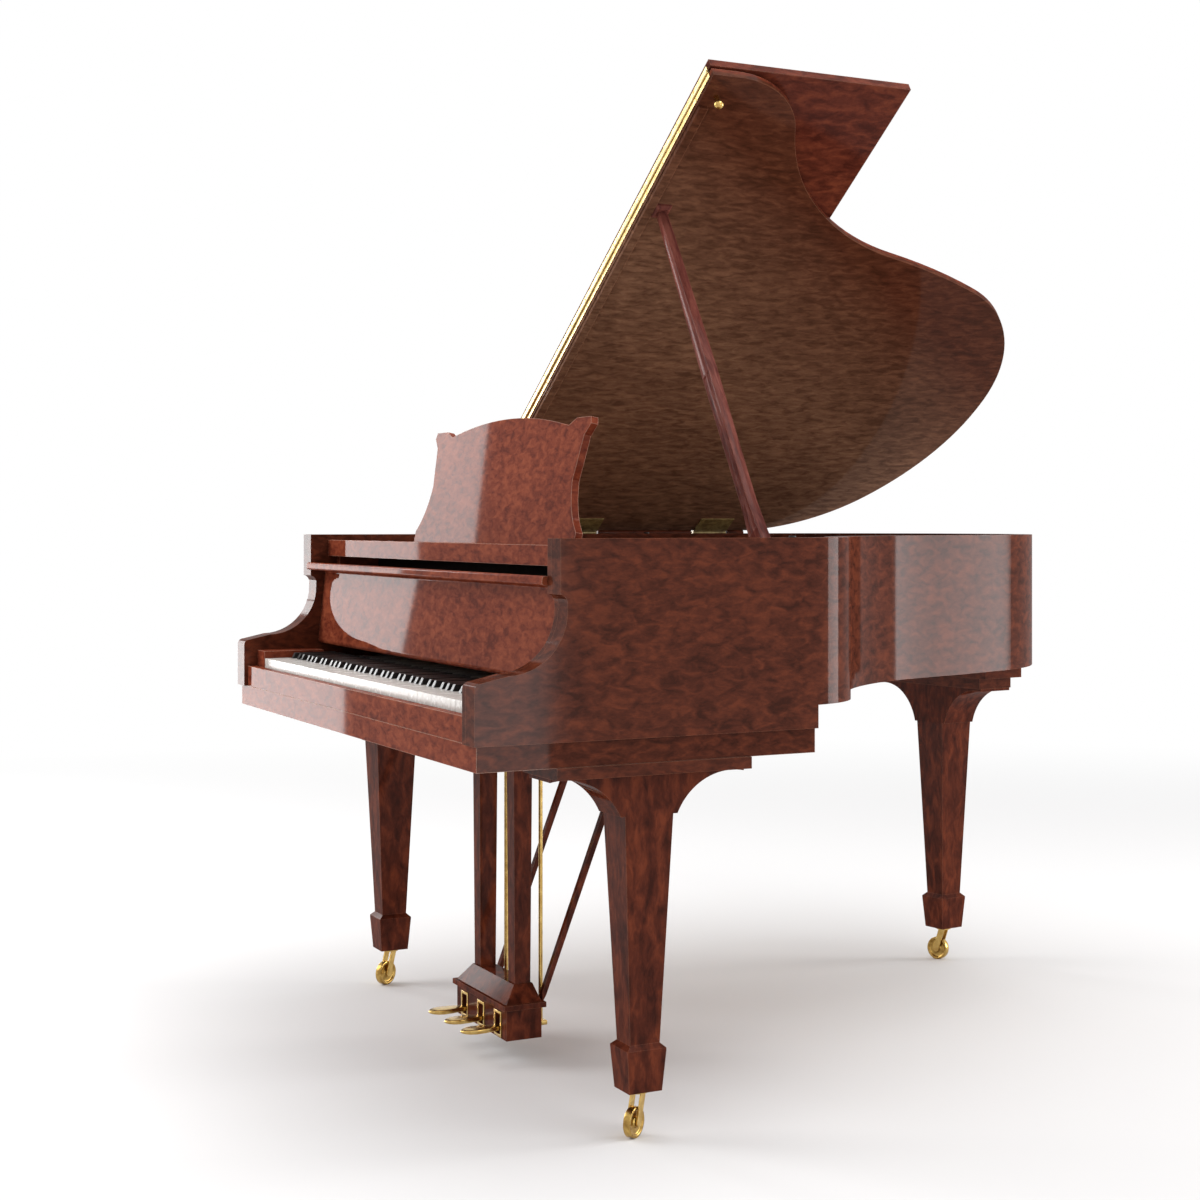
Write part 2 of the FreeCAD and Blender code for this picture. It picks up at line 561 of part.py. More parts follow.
desk_shares = ((0.5, 0.0), (0.5, 0.13), (0.462, 0.26), (0.433, 0.50), (0.452, 0.82), (0.478, 0.9),
               (0.472, 0.95), (0.398, 0.95), (0.36, 0.90), (0.2, 0.965), (0.0, 1.0))


def build_music_desk():
    side = "case_width / 2 - rim_thick - cheek_thick - panel_gap"
    board = box("shelf_board", ("-(%s)" % side, side), ("shelf_front", "shelf_back"),
                ("shelf_top - shelf_thick", "shelf_top"))
    rail = box("shelf_front_rail", ("-(%s)" % side, side), ("shelf_front", "shelf_front + shelf_rail_depth"),
               ("shelf_top - shelf_thick - shelf_rail_drop", "shelf_top + shelf_rail_rise"))
    node("music_shelf", fuse("shelf_fuse", board, rail))
    runner_top = "shelf_top - shelf_thick - balance_gap"
    runners = []
    for name, sign in (("left", -1), ("right", 1)):
        near = "%d * (case_width / 2 - rim_thick - cheek_thick - glue_gap)%s" % (
            sign, "" if sign < 0 else " - runner_width")
        runners.append(box("runner_" + name, (near, near + " + runner_width"),
                           ("shelf_front + shelf_rail_depth", "runner_back"),
                           (runner_top + " - runner_height", runner_top)))
    node("shelf_runners", *runners)

    # The desk is drawn upright behind its hinge line and then leaned back about it.
    front = -s.desk_back_gap - s.desk_thick
    right = [(x * s.desk_width, z * s.desk_height) for x, z in desk_shares]
    pick = dict(zip(("foot", "hem", "hip", "waist", "neck", "ear_low", "ear_high", "ear_in", "notch", "brow",
                     "crown"), right))

    def flip(point):
        return (-point[0], point[1])

    def half(f):
        return [line(f(pick["foot"]), f(pick["hem"])),
                arc(f(pick["hem"]), f(pick["hip"]), f(pick["waist"])),
                line(f(pick["waist"]), f(pick["neck"])), line(f(pick["neck"]), f(pick["ear_low"])),
                line(f(pick["ear_low"]), f(pick["ear_high"])), line(f(pick["ear_high"]), f(pick["ear_in"])),
                line(f(pick["ear_in"]), f(pick["notch"]))]

    crown = arc(pick["notch"], pick["crown"], flip(pick["notch"]))
    base = line(flip(pick["foot"]), pick["foot"])
    panel = prism("desk_panel", "XZ_Plane", half(lambda p: p) + [crown] + half(flip) + [base],
                  "desk_thick", -front - s.desk_thick)
    hinge = Vector(0, s.desk_hinge_y, s.shelf_top + s.desk_pivot_rise)
    lean = Placement(hinge, Rotation(Vector(1, 0, 0), -s.desk_lean))
    node("music_desk", panel, turn=lean)

    # Two butt hinges behind the desk's foot: one leaf lies on the shelf, the other against the desk's back.
    shelf_leaves, desk_leaves = [], []
    third = s.desk_hinge_length / 3
    for sign in (-1, 1):
        x0 = sign * s.desk_hinge_x - s.desk_hinge_length / 2
        axis = Vector(1, 0, 0)
        pin = Part.makeCylinder(s.desk_pin_radius, s.desk_hinge_length, Vector(x0, 0, 0), axis)
        barrel = Part.makeCylinder(s.desk_knuckle, third - s.knuckle_gap,
                                   Vector(x0 + third + s.knuckle_gap / 2, 0, 0), axis)
        leaf = solid_block((x0 + third + s.knuckle_gap / 2, 0, -s.desk_pivot_rise),
                           (x0 + 2 * third - s.knuckle_gap / 2, s.desk_leaf_width,
                            s.desk_leaf - s.desk_pivot_rise))
        foot = solid_block((x0, s.desk_knuckle + s.knuckle_gap, -s.desk_pivot_rise),
                           (x0 + s.desk_hinge_length, s.desk_leaf_width, s.desk_leaf - s.desk_pivot_rise))
        shelf_leaves.append(leaf.fuse([foot, barrel, pin]).Solids[0])
        ends = [x0 + s.knuckle_gap / 2, x0 + 2 * third + s.knuckle_gap / 2]
        knuckles = [Part.makeCylinder(s.desk_knuckle, third - s.knuckle_gap, Vector(x, 0, 0),
                                      axis) for x in ends]
        tabs = [solid_block((x, -s.desk_back_gap, 0),
                            (x + third - s.knuckle_gap, s.desk_leaf - s.desk_back_gap, s.desk_leaf_width))
                for x in ends]
        back = solid_block((x0, -s.desk_back_gap, s.desk_knuckle + s.knuckle_gap),
                           (x0 + s.desk_hinge_length, s.desk_leaf - s.desk_back_gap, s.desk_leaf_width))
        bore = Part.makeCylinder(s.desk_pin_radius + s.pin_clearance, 2 * s.desk_hinge_length,
                                 Vector(x0 - s.desk_hinge_length / 2, 0, 0), axis)
        desk_leaves.append(back.fuse(tabs + knuckles).cut(bore).Solids[0])
    node("desk_hinge_shelf_leaves", solids("desk_shelf_leaf_pair", shelf_leaves),
         turn=Placement(hinge, Rotation()))
    node("desk_hinge_desk_leaves", solids("desk_back_leaf_pair", desk_leaves), turn=lean)


def build_lid():
    outline = case_loop(0, s.lid_front + s.strip_gap + s.strip_leaf, s.lid_overhang)
    raw = prism("lid_raw", "XY_Plane", outline, "lid_thick", lid_under)
    edge = box("lid_edge_space", ("-case_width / 2 - overrun",
                                  "-case_width / 2 - lid_pin_out + lid_edge_gap"),
               ("lid_front - overrun", "case_length + overrun"), ("rim_top - overrun", "rim_top + overrun"))
    node("lid_panel", cut("lid_cut", raw, edge), turn=lid_turn)
    low_x = "-case_width / 2 - lid_pin_out + lid_edge_gap"
    high_x = "case_width / 2 + lid_overhang"
    upper = "rim_top + lid_gap + lid_thick"
    flap = box("flap_block", (low_x, high_x), ("lid_front - flap_depth",
                                               "lid_front - strip_gap - strip_leaf"),
               ("rim_top + lid_gap", upper))
    node("flap_panel", flap, turn=lid_turn * flap_turn)
    node("lid_batten", box("batten", ("-case_width / 2 + batten_start", "-case_width / 2 + batten_stop"),
                           ("lid_front + batten_inset", "lid_front + batten_inset + batten_width"),
                           ("rim_top + lid_gap - batten_thick", "rim_top + lid_gap")), turn=lid_turn)
    knob = bar("knob_stem", "knob_radius / 2", "knob_height", Vector(
        lid_pin.x + s.knob_reach, s.knob_y, lid_under), Vector(0, 0, -1))
    ball = doc.addObject("Part::Sphere", "knob_ball")
    ball.setExpression("Radius", bind("knob_radius"))
    ball.Placement = Placement(Vector(lid_pin.x + s.knob_reach, s.knob_y, lid_under - s.knob_height),
                               Rotation())
    node("lid_knob", fuse("knob_fuse", knob, ball), turn=lid_turn)
    cup = box("cup_block", ("-case_width / 2 - lid_pin_out + prop_reach - cup_size / 2",
                            "-case_width / 2 - lid_pin_out + prop_reach + cup_size / 2"),
              ("prop_tip_y - cup_size / 2", "prop_tip_y + cup_size / 2"),
              ("rim_top + lid_gap - cup_height", "rim_top + lid_gap"))
    cup_round = doc.addObject("Part::Chamfer", "prop_cup_block")
    cup_round.Base = cup
    doc.recompute()
    bottom = [i + 1 for i,
              e in enumerate(cup.Shape.Edges) if abs(e.BoundBox.ZMax - cup.Shape.BoundBox.ZMin) < s.glue_gap]
    cup_round.Edges = [(i, s.cup_height / 2, s.cup_height / 2) for i in bottom]
    node("prop_cup", cup_round, turn=lid_turn)

    # The strip hinge: a leaf on each facing edge, with knuckles taking turns along one pin.
    length = (half_width + s.lid_overhang - s.strip_inset) - (lid_pin.x + s.lid_edge_gap + s.strip_inset)
    start = lid_pin.x + s.lid_edge_gap + s.strip_inset
    count = int(s.strip_knuckles)
    pitch = length / count
    leaves = {}
    for name, sign, first in (("lid", 1, 0), ("flap", -1, 1)):
        near = s.lid_front + sign * s.strip_gap
        far = near + sign * s.strip_leaf
        low, high = min(near, far), max(near, far)
        leaf = solid_block((start, low, lid_upper - s.strip_drop), (start + length, high, strip_axis_z))
        parts = [leaf]
        for k in range(first, count, 2):
            at = start + k * pitch + s.knuckle_gap / 2
            parts.append(Part.makeCylinder(s.strip_radius, pitch - s.knuckle_gap,
                                           Vector(at, s.lid_front, strip_axis_z), Vector(1, 0, 0)))
        shape = parts[0].fuse(parts[1:])
        clear = s.pin_clearance if name == "flap" else 0
        bore = Part.makeCylinder(s.strip_pin_radius + clear, length, Vector(start, s.lid_front, strip_axis_z),
                                 Vector(1, 0, 0))
        other = [Part.makeCylinder(s.strip_radius + s.knuckle_gap, pitch,
                                   Vector(start + k * pitch, s.lid_front, strip_axis_z), Vector(1, 0, 0))
                 for k in range(1 - first, count, 2)]
        leaves[name] = shape.cut(other + [bore])
    pin = Part.makeCylinder(s.strip_pin_radius, length, Vector(start, s.lid_front, strip_axis_z),
                            Vector(1, 0, 0))
    node("strip_hinge_lid_leaf", solids("strip_lid", [leaves["lid"].fuse(pin).Solids[0]]), turn=lid_turn)
    node("strip_hinge_flap_leaf", solids("strip_flap", leaves["flap"].Solids), turn=lid_turn * flap_turn)

    # Two butt hinges on the bass side.
    rim_parts, lid_parts = [], []
    third = s.butt_length / 3
    for y in (s.butt_front, s.butt_back):
        y0 = y - s.butt_length / 2
        axis = Vector(0, 1, 0)
        pin = Part.makeCylinder(s.butt_pin_radius, s.butt_length, Vector(lid_pin.x, y0, lid_pin.z), axis)
        middle = Part.makeCylinder(s.butt_radius, third - s.knuckle_gap,
                                   Vector(lid_pin.x, y0 + third + s.knuckle_gap / 2, lid_pin.z), axis)
        plate = solid_block((-half_width - s.butt_leaf, y0, lid_pin.z - s.butt_drop),
                            (-half_width, y0 + s.butt_length, lid_pin.z - s.butt_radius - s.knuckle_gap))
        strap = solid_block((-half_width - s.butt_leaf, y0 + third + s.knuckle_gap / 2,
                             lid_pin.z - s.butt_drop),
                            (-half_width, y0 + 2 * third - s.knuckle_gap / 2, lid_pin.z))
        rim_parts.append(pin.fuse([middle, plate, strap]).Solids[0])
        ends = [Part.makeCylinder(s.butt_radius, third - s.knuckle_gap, Vector(lid_pin.x, at, lid_pin.z),
                                  axis)
                for at in (y0 + s.knuckle_gap / 2, y0 + 2 * third + s.knuckle_gap / 2)]
        leaf = solid_block((lid_pin.x + s.butt_radius + s.knuckle_gap, y0, lid_under - s.butt_leaf),
                           (lid_pin.x + s.butt_width, y0 + s.butt_length, lid_under))
        tabs = [solid_block((lid_pin.x, at, lid_under - s.butt_leaf),
                            (lid_pin.x + s.butt_width, at + third - s.knuckle_gap, lid_under))
                for at in (y0 + s.knuckle_gap / 2, y0 + 2 * third + s.knuckle_gap / 2)]
        bore = Part.makeCylinder(s.butt_pin_radius + s.pin_clearance, 2 * s.butt_length,
                                 Vector(lid_pin.x, y0 - s.butt_length / 2, lid_pin.z), axis)
        lid_parts.append(leaf.fuse(ends + tabs).cut(bore).Solids[0])
    node("butt_hinge_rim_leaves", solids("butt_rim", rim_parts))
    node("butt_hinge_lid_leaves", solids("butt_lid", lid_parts), turn=lid_turn)


def prop_line():
    """Pivot of the prop and the point under the lid where its tip stands."""
    pivot = Vector(s.prop_pivot_x, s.prop_pivot_y, s.prop_pivot_z)
    under = Vector(lid_pin.x + s.prop_reach, s.prop_tip_y, lid_under - s.cup_height)
    tip = lid_turn.multVec(under)
    return pivot, tip


def build_prop():
    pivot, tip = prop_line()
    run = tip - pivot
    length = run.Length - s.prop_tip_gap
    base, neck, end = s.prop_base_width / 2, s.prop_neck_width / 2, s.prop_tip_width / 2
    boss = s.prop_boss_radius
    swell_share = 0.42
    swell = length * swell_share
    outline = [line((base, 0), (neck, s.prop_flare)), line((neck, s.prop_flare), (neck, swell)),
               line((neck, swell), (end, length)), line((end, length), (-end, length)),
               line((-end, length), (-neck, swell)), line((-neck, swell), (-neck, s.prop_flare)),
               line((-neck, s.prop_flare), (-base, 0)),
               arc((-base, 0), (0, -boss), (base, 0))]
    stick = prism("prop_stick", "XZ_Plane", outline, "prop_thick", -s.prop_thick / 2)
    bore = bar("prop_bore", "prop_pin_radius + pin_clearance", "prop_thick + 2 * overrun",
               Vector(0, -s.prop_thick / 2 - s.overrun, 0), Vector(0, 1, 0))
    plan = math.degrees(math.atan2(run.y, -run.x))
    rise = math.degrees(math.atan2(run.z, math.hypot(run.x, run.y)))
    swing = Placement(pivot, Rotation(Vector(0, 0, 1), -plan)) * Placement(
        Vector(0, 0, 0), Rotation(Vector(0, 1, 0), rise - 90))
    node("lid_prop", cut("prop_cut", stick, bore), turn=swing)

    # The bracket's ears lie along the prop and end on the straight inside of the rim.
    ear_at = s.prop_thick / 2 + s.prop_ear_gap
    deep = ear_at + s.prop_ear
    spread = s.prop_pin_radius * 2
    wall = inner_half - s.prop_pivot_x
    parts = [solid_block((wall - s.prop_ear, -deep, -spread), (wall + s.overrun, deep, spread)),
             Part.makeCylinder(s.prop_pin_radius, 2 * deep, Vector(0, -deep, 0), Vector(0, 1, 0))]
    for low, high in ((-deep, -ear_at), (ear_at, deep)):
        parts.append(solid_block((-spread, low, -spread), (wall, high, spread)))
    bracket = parts[0].fuse(parts[1:])
    bracket.Placement = Placement(pivot, Rotation(Vector(0, 0, 1), -plan))
    room = case_face(-s.rim_thick, 0).extrude(Vector(0, 0, s.rim_top))
    node("prop_bracket", solids("prop_bracket_cast", bracket.common(room).Solids))


# Struts at the pin line as shares of half the case width, and between them the strings of each section:
# how many, then the first and last place.
strut_shares = (-0.496, -0.085, 0.315, 0.675)
section_shares = ((20, -0.463, -0.115), (19, -0.055, 0.285), (17, 0.345, 0.645), (8, 0.705, 0.838))
bass_count = 24


def string_starts():
    """Place along the pin line and lean to the tail of each string, bass first."""
    for k in range(bass_count):
        yield s.bass_left + k * s.bass_pitch, s.bass_lean / s.string_span
    for count, first, last in section_shares:
        for k in range(count):
            yield (first + (last - first) * k / (count - 1)) * half_width, -s.treble_lean / s.string_span


def build_strings():
    face = case_face(-s.rim_thick - s.hitch_inset, s.plate_front)
    wires, pins = [], []
    for index, (x, lean) in enumerate(string_starts()):
        bass = lean > 0
        row = s.pin_front + s.pin_row * (index % 5)
        stop = s.bass_stop if bass else s.treble_stop
        a = Vector(x + lean * (row - s.pin_front), row, 0)
        b = Vector(x + lean * (stop - s.pin_front), stop, 0)
        # A string that starts beside the hitch line enters and leaves its face; one inside only leaves it.
        ends = sorted((v.Point for v in Part.makeLine(a, b).common(face).Vertexes), key=lambda p: p.y)
        lift = Vector(0, 0, s.string_height + (s.bass_rise if bass else 0))
        p, q = a + lift, ends[1] + lift
        gap = (q - p).normalize() * (s.pin_radius + s.wire_rest)
        wires.append(Part.makeCylinder(s.bass_radius if bass else s.string_radius, (q - p - gap).Length,
                                       p + gap, q - p))
        pins.append(Part.makeCylinder(s.pin_radius, s.pin_height,
                                      Vector(a.x, a.y, s.plate_bottom + s.plate_thick)))
    node("strings", solids("string_set", wires))
    node("tuning_pins", solids("pin_set", pins))


def strut_lines():
    """Places of the struts at the front of their feet, and their lean."""
    lean = -s.treble_lean / s.string_span
    for share in strut_shares:
        yield share * half_width + lean * (s.gap_front - s.strut_foot - s.pin_front), lean


def build_plate():
    seat = s.inner_rim_top + s.board_thick
    edge = -s.rim_thick - s.plate_gap
    web = case_face(edge, s.plate_front).cut(case_face(edge - s.plate_web, s.gap_front))
    web = web.extrude(Vector(0, 0, s.plate_thick))
    web.translate(Vector(0, 0, s.plate_bottom))
    skirt = case_face(edge, s.belly_front + s.panel_gap).cut(case_face(edge - s.plate_flange, s.overrun))
    skirt = skirt.extrude(Vector(0, 0, s.plate_bottom - seat))
    skirt.translate(Vector(0, 0, seat))
    top = s.plate_bottom + s.plate_thick
    capo = solid_block((-inner_half + 2 * s.plate_gap, s.capo_front, s.plate_bottom),
                       (inner_half - 2 * s.plate_gap, s.capo_front + s.capo_depth, top + s.capo_height))
    parts = [skirt, capo]
    within = case_face(edge - s.plate_web / 2, s.gap_front - s.strut_foot)
    opening = case_face(edge - s.plate_web, s.gap_front)
    w = s.strut_width / 2
    for x, slope in strut_lines():
        y0, y1 = s.gap_front - s.strut_foot, s.case_length
        x0, x1 = x, x + slope * (y1 - y0)
        strip = Part.Face(Part.makePolygon([Vector(x0 - w, y0, 0), Vector(x0 + w, y0, 0),
                                            Vector(x1 + w, y1, 0),
                                            Vector(x1 - w, y1, 0), Vector(x0 - w, y0, 0)]))
        rail = strip.common(within)
        narrow = Part.Face(Part.makePolygon([Vector(x0 - w / 2, y0, 0), Vector(x0 + w / 2, y0, 0),
                                             Vector(x1 + w / 2, y1, 0), Vector(x1 - w / 2, y1, 0),
                                             Vector(x0 - w / 2, y0, 0)]))
        feet = narrow.common(within).cut(opening)
        rail = rail.extrude(Vector(0, 0, s.strut_top - s.strut_bottom))
        rail.translate(Vector(0, 0, s.strut_bottom))
        feet = feet.extrude(Vector(0, 0, s.strut_bottom - s.plate_bottom))
        feet.translate(Vector(0, 0, s.plate_bottom))
        parts += [rail, feet]
    node("iron_plate", solids("plate_casting", [web.fuse(parts).removeSplitter().Solids[0]]))

    side = "case_width / 2 - rim_thick - glue_gap"
    node("pin_block", box("pin_block_plank", ("-(%s)" % side, side), ("block_front",
        "block_front + block_depth"),
                          ("plate_bottom - block_thick", "plate_bottom")))


def build_soundboard():
    edge = -s.rim_thick - s.glue_gap
    board = case_face(edge, s.belly_front).extrude(Vector(0, 0, s.board_thick))
    board.translate(Vector(0, 0, s.inner_rim_top))
    node("soundboard", solids("board_panel", [board]))
    inside = case_face(edge - s.inner_rim_thick - 2 * s.glue_gap, s.belly_front + s.belly_thick)
    ribs = []
    first, last = s.belly_front + s.belly_thick + s.rib_width, s.case_length - s.rim_thick - s.inner_rim_thick
    gap = (last - first - s.rib_width * 3) / (s.rib_count - 1)
    for k in range(int(s.rib_count)):
        y = first + k * gap
        strip = Part.makePlane(s.case_width, s.rib_width, Vector(-half_width, y, 0))
        rib = strip.common(inside).extrude(Vector(0, 0, s.rib_height))
        rib.translate(Vector(0, 0, s.inner_rim_top - s.rib_height))
        ribs += rib.Solids
    node("soundboard_ribs", solids("rib_set", ribs))

    base = s.inner_rim_top + s.board_thick
    # The long bridge follows the bends from the waist to the tail.
    inset = edge - s.plate_flange - s.bridge_inset
    near, far = (case_path(move, 0)[2:8] for move in (inset, inset - s.bridge_width))
    sides = [e.toShape() for e in near + far]
    for a, b in ((near[0].StartPoint, far[0].StartPoint), (near[-1].EndPoint, far[-1].EndPoint)):
        sides.append(Part.makeLine(a, b))
    ring = Part.Face(Part.Wire(Part.__sortEdges__(sides)))
    treble = ring.extrude(Vector(0, 0, s.bridge_height))
    treble.translate(Vector(0, 0, base))
    low = Part.makePlane(s.bass_bridge_length, s.bridge_width,
                         Vector(s.bass_bridge_left, s.bass_bridge_y, 0))
    bass = low.extrude(Vector(0, 0, s.bridge_height + s.bass_rise - s.bass_radius + s.string_radius))
    bass.translate(Vector(0, 0, base))
    node("bridges", solids("bridge_pair", treble.Solids + [bass]))


def build_dampers():
    parts = []
    low = s.string_height + s.string_radius + s.damper_gap
    xs = []
    behind = s.damper_y - s.pin_front
    bass_edge = max(x + lean * (behind + s.damper_depth) for x, lean in string_starts() if lean > 0)
    damped_share = 0.64
    for x, lean in string_starts():
        at = x + lean * behind
        blocked = any(abs(at - (sx + slope * (s.damper_y - s.gap_front + s.strut_foot))) <
                      s.strut_width / 2 + s.damper_width / 2 + s.damper_gap for sx, slope in strut_lines())
        if blocked or at < bass_edge + s.damper_width or x > damped_share * half_width:
            continue
        w, d = s.damper_width / 2, s.damper_depth / 2
        parts.append(solid_block((at - w, s.damper_y - d, low),
                                 (at + w, s.damper_y + d, low + s.damper_height)))
        parts.append(Part.makeCylinder(s.damper_wire, low - s.tray_top,
                                       Vector(at + s.damper_wire_offset, s.damper_y, s.tray_top)))
        xs.append(at)
    d = s.tray_depth / 2
    w = s.damper_width
    parts.append(solid_block((min(xs) - w, s.damper_y - d, s.tray_top - s.tray_height),
                             (max(xs) + w, s.damper_y + d, s.tray_top)))
    whole = parts[-1].multiFuse(parts[:-1])
    node("dampers", solids("damper_set", whole.Solids))


def leg_shape(name, top, drop):
    """A square tapered leg with a spade foot, and coved brackets along Y under its plate."""
    foot, flare, ankle, head = (w / 2 for w in (s.foot_width, s.foot_flare, s.leg_ankle_width,
                                                s.leg_top_width))
    neck = top - drop
    reach = s.plate_y / 2

    def profile(wide):
        cove = drop - s.bracket_nose
        slant = math.sqrt(0.5)
        shelf = head + s.bracket_step
        span = reach - shelf
        side = [(foot, s.foot_bottom), (flare, s.foot_top), (flare, s.foot_top + s.foot_chamfer / 3),
                (ankle, s.foot_top + s.foot_chamfer), (head, neck)]
        right = [line(a, b) for a, b in zip(side, side[1:])]
        left = [line((-a[0], a[1]), (-b[0], b[1])) for a, b in zip(side, side[1:])]
        if wide:
            nose = (reach, top - s.bracket_nose)
            bend = (shelf + span * (1 - slant), neck + cove * slant)
            right += [line((head, neck), (shelf, neck)), arc((shelf, neck), bend, nose),
                      line(nose, (reach, top))]
            left += [line((-head, neck), (-shelf, neck)), arc((-shelf, neck), (-bend[0], bend[1]),
                (-nose[0], nose[1])),
                     line((-nose[0], nose[1]), (-reach, top))]
            cap = reach
        else:
            right.append(line((head, neck), (head, top)))
            left.append(line((-head, neck), (-head, top)))
            cap = head
        return right + left + [line((-foot, s.foot_bottom), (foot, s.foot_bottom)),
                               line((-cap, top), (cap, top))]

    side_face = prism(name + "_side", "YZ_Plane", profile(True), "plate_x", -s.plate_x / 2)
    front_face = prism(name + "_front", "XZ_Plane", profile(False), "plate_y", -s.plate_y / 2)
    both = common(name + "_square", side_face, front_face)
    bore = bar(name + "_bore", "stem_radius + pin_clearance", "stem_length + overrun",
               Vector(0, 0, s.foot_bottom - s.overrun), Vector(0, 0, 1))
    return cut(name + "_bored", both, bore)


leg_places = (("left", "-leg_x", "leg_y"), ("right", "leg_x", "leg_y"), ("rear", "rear_leg_x", "rear_leg_y"))


def leg_spot(name):
    if name == "rear":
        return Placement(Vector(s.rear_leg_x, s.rear_leg_y, 0), Rotation(Vector(0, 0, 1), s.rear_leg_turn))
    return Placement(Vector(-s.leg_x if name == "left" else s.leg_x, s.leg_y, 0), Rotation())


def build_legs():
    plates = []
    for name, x, y in leg_places:
        rear = name == "rear"
        roof = s.rim_bottom - s.rear_block_z if rear else s.keybed_bottom
        thick = "rear_plate_z" if rear else "plate_z"
        top = roof - getattr(s, thick)
        drop = s.rear_bracket_drop if rear else s.leg_bracket_drop
        node(("rear_leg" if rear else "front_leg_" + name), leg_shape("leg_" + name, top, drop),
             turn=leg_spot(name))
        w, d = (s.rear_plate_x if rear else s.plate_x) / 2, s.plate_y / 2
        plate = solid_block((-w, -d, top), (w, d, roof))
        if rear:
            bw, bd, shift = s.rear_block_x / 2, s.rear_block_y / 2, s.rear_block_shift
            block = solid_block((-bw, shift - bd, roof), (bw, shift + bd, s.rim_bottom))
            plate = plate.fuse(block).Solids[0]
        plate.Placement = leg_spot(name)
        plates.append(plate)
    node("leg_plates", solids("leg_plate_set", plates))


caster_turn_shares = {"left": 0.58, "right": 0.60, "rear": 0.55}


def build_casters():
    gap = s.wheel_width / 2 + s.fork_gap
    outer = gap + s.fork_thick
    top = s.foot_bottom - s.fork_play
    crown = top - s.fork_plate_height
    for name in ("left", "right", "rear"):
        turn = leg_spot(name) * Placement(Vector(0, 0, 0), Rotation(
            Vector(0, 0, 1), 360 * caster_turn_shares[name]))
        t, r, w = s.caster_trail, s.wheel_radius, s.fork_width / 2
        slant = math.sqrt(0.5)
        outline = [line((t - w, r), (-w, crown)), line((-w, crown), (w, crown)), line((w, crown), (t + w, r)),
                   arc((t + w, r), (t, r - w), (t - w, r))]
        arms = []
        for side, start in (("a", -outer), ("b", gap)):
            arms.append(prism("fork_%s_%s" % (name, side), "YZ_Plane", outline, "fork_thick", start))
        disc = bar("fork_disc_" + name, "fork_plate_radius", "fork_plate_height", Vector(0, 0, crown),
                   Vector(0, 0, 1))
        stem = bar("fork_stem_" + name, "stem_radius", "stem_length - fork_play", Vector(0, 0, crown),
                   Vector(0, 0, 1))
        axle = bar("fork_axle_" + name, "axle_radius", "wheel_width + 2 * fork_gap + 2 * fork_thick",
                   Vector(-outer, t, r), Vector(1, 0, 0))
        node("caster_fork_" + name, fuse("fork_fuse_" + name, disc, stem, axle, *arms), turn=turn)
        tyre = bar("tyre_" + name, "wheel_radius", "wheel_width", Vector(-s.wheel_width / 2, t, r),
                   Vector(1, 0, 0))
        hole = bar("hub_bore_" + name, "axle_radius + pin_clearance", "wheel_width + 2 * overrun",
                   Vector(-s.wheel_width / 2 - s.overrun, t, r), Vector(1, 0, 0))
        node("caster_wheel_" + name, cut("wheel_cut_" + name, tyre, hole), turn=turn)


pedal_names = (("left", -1), ("middle", 0), ("right", 1))


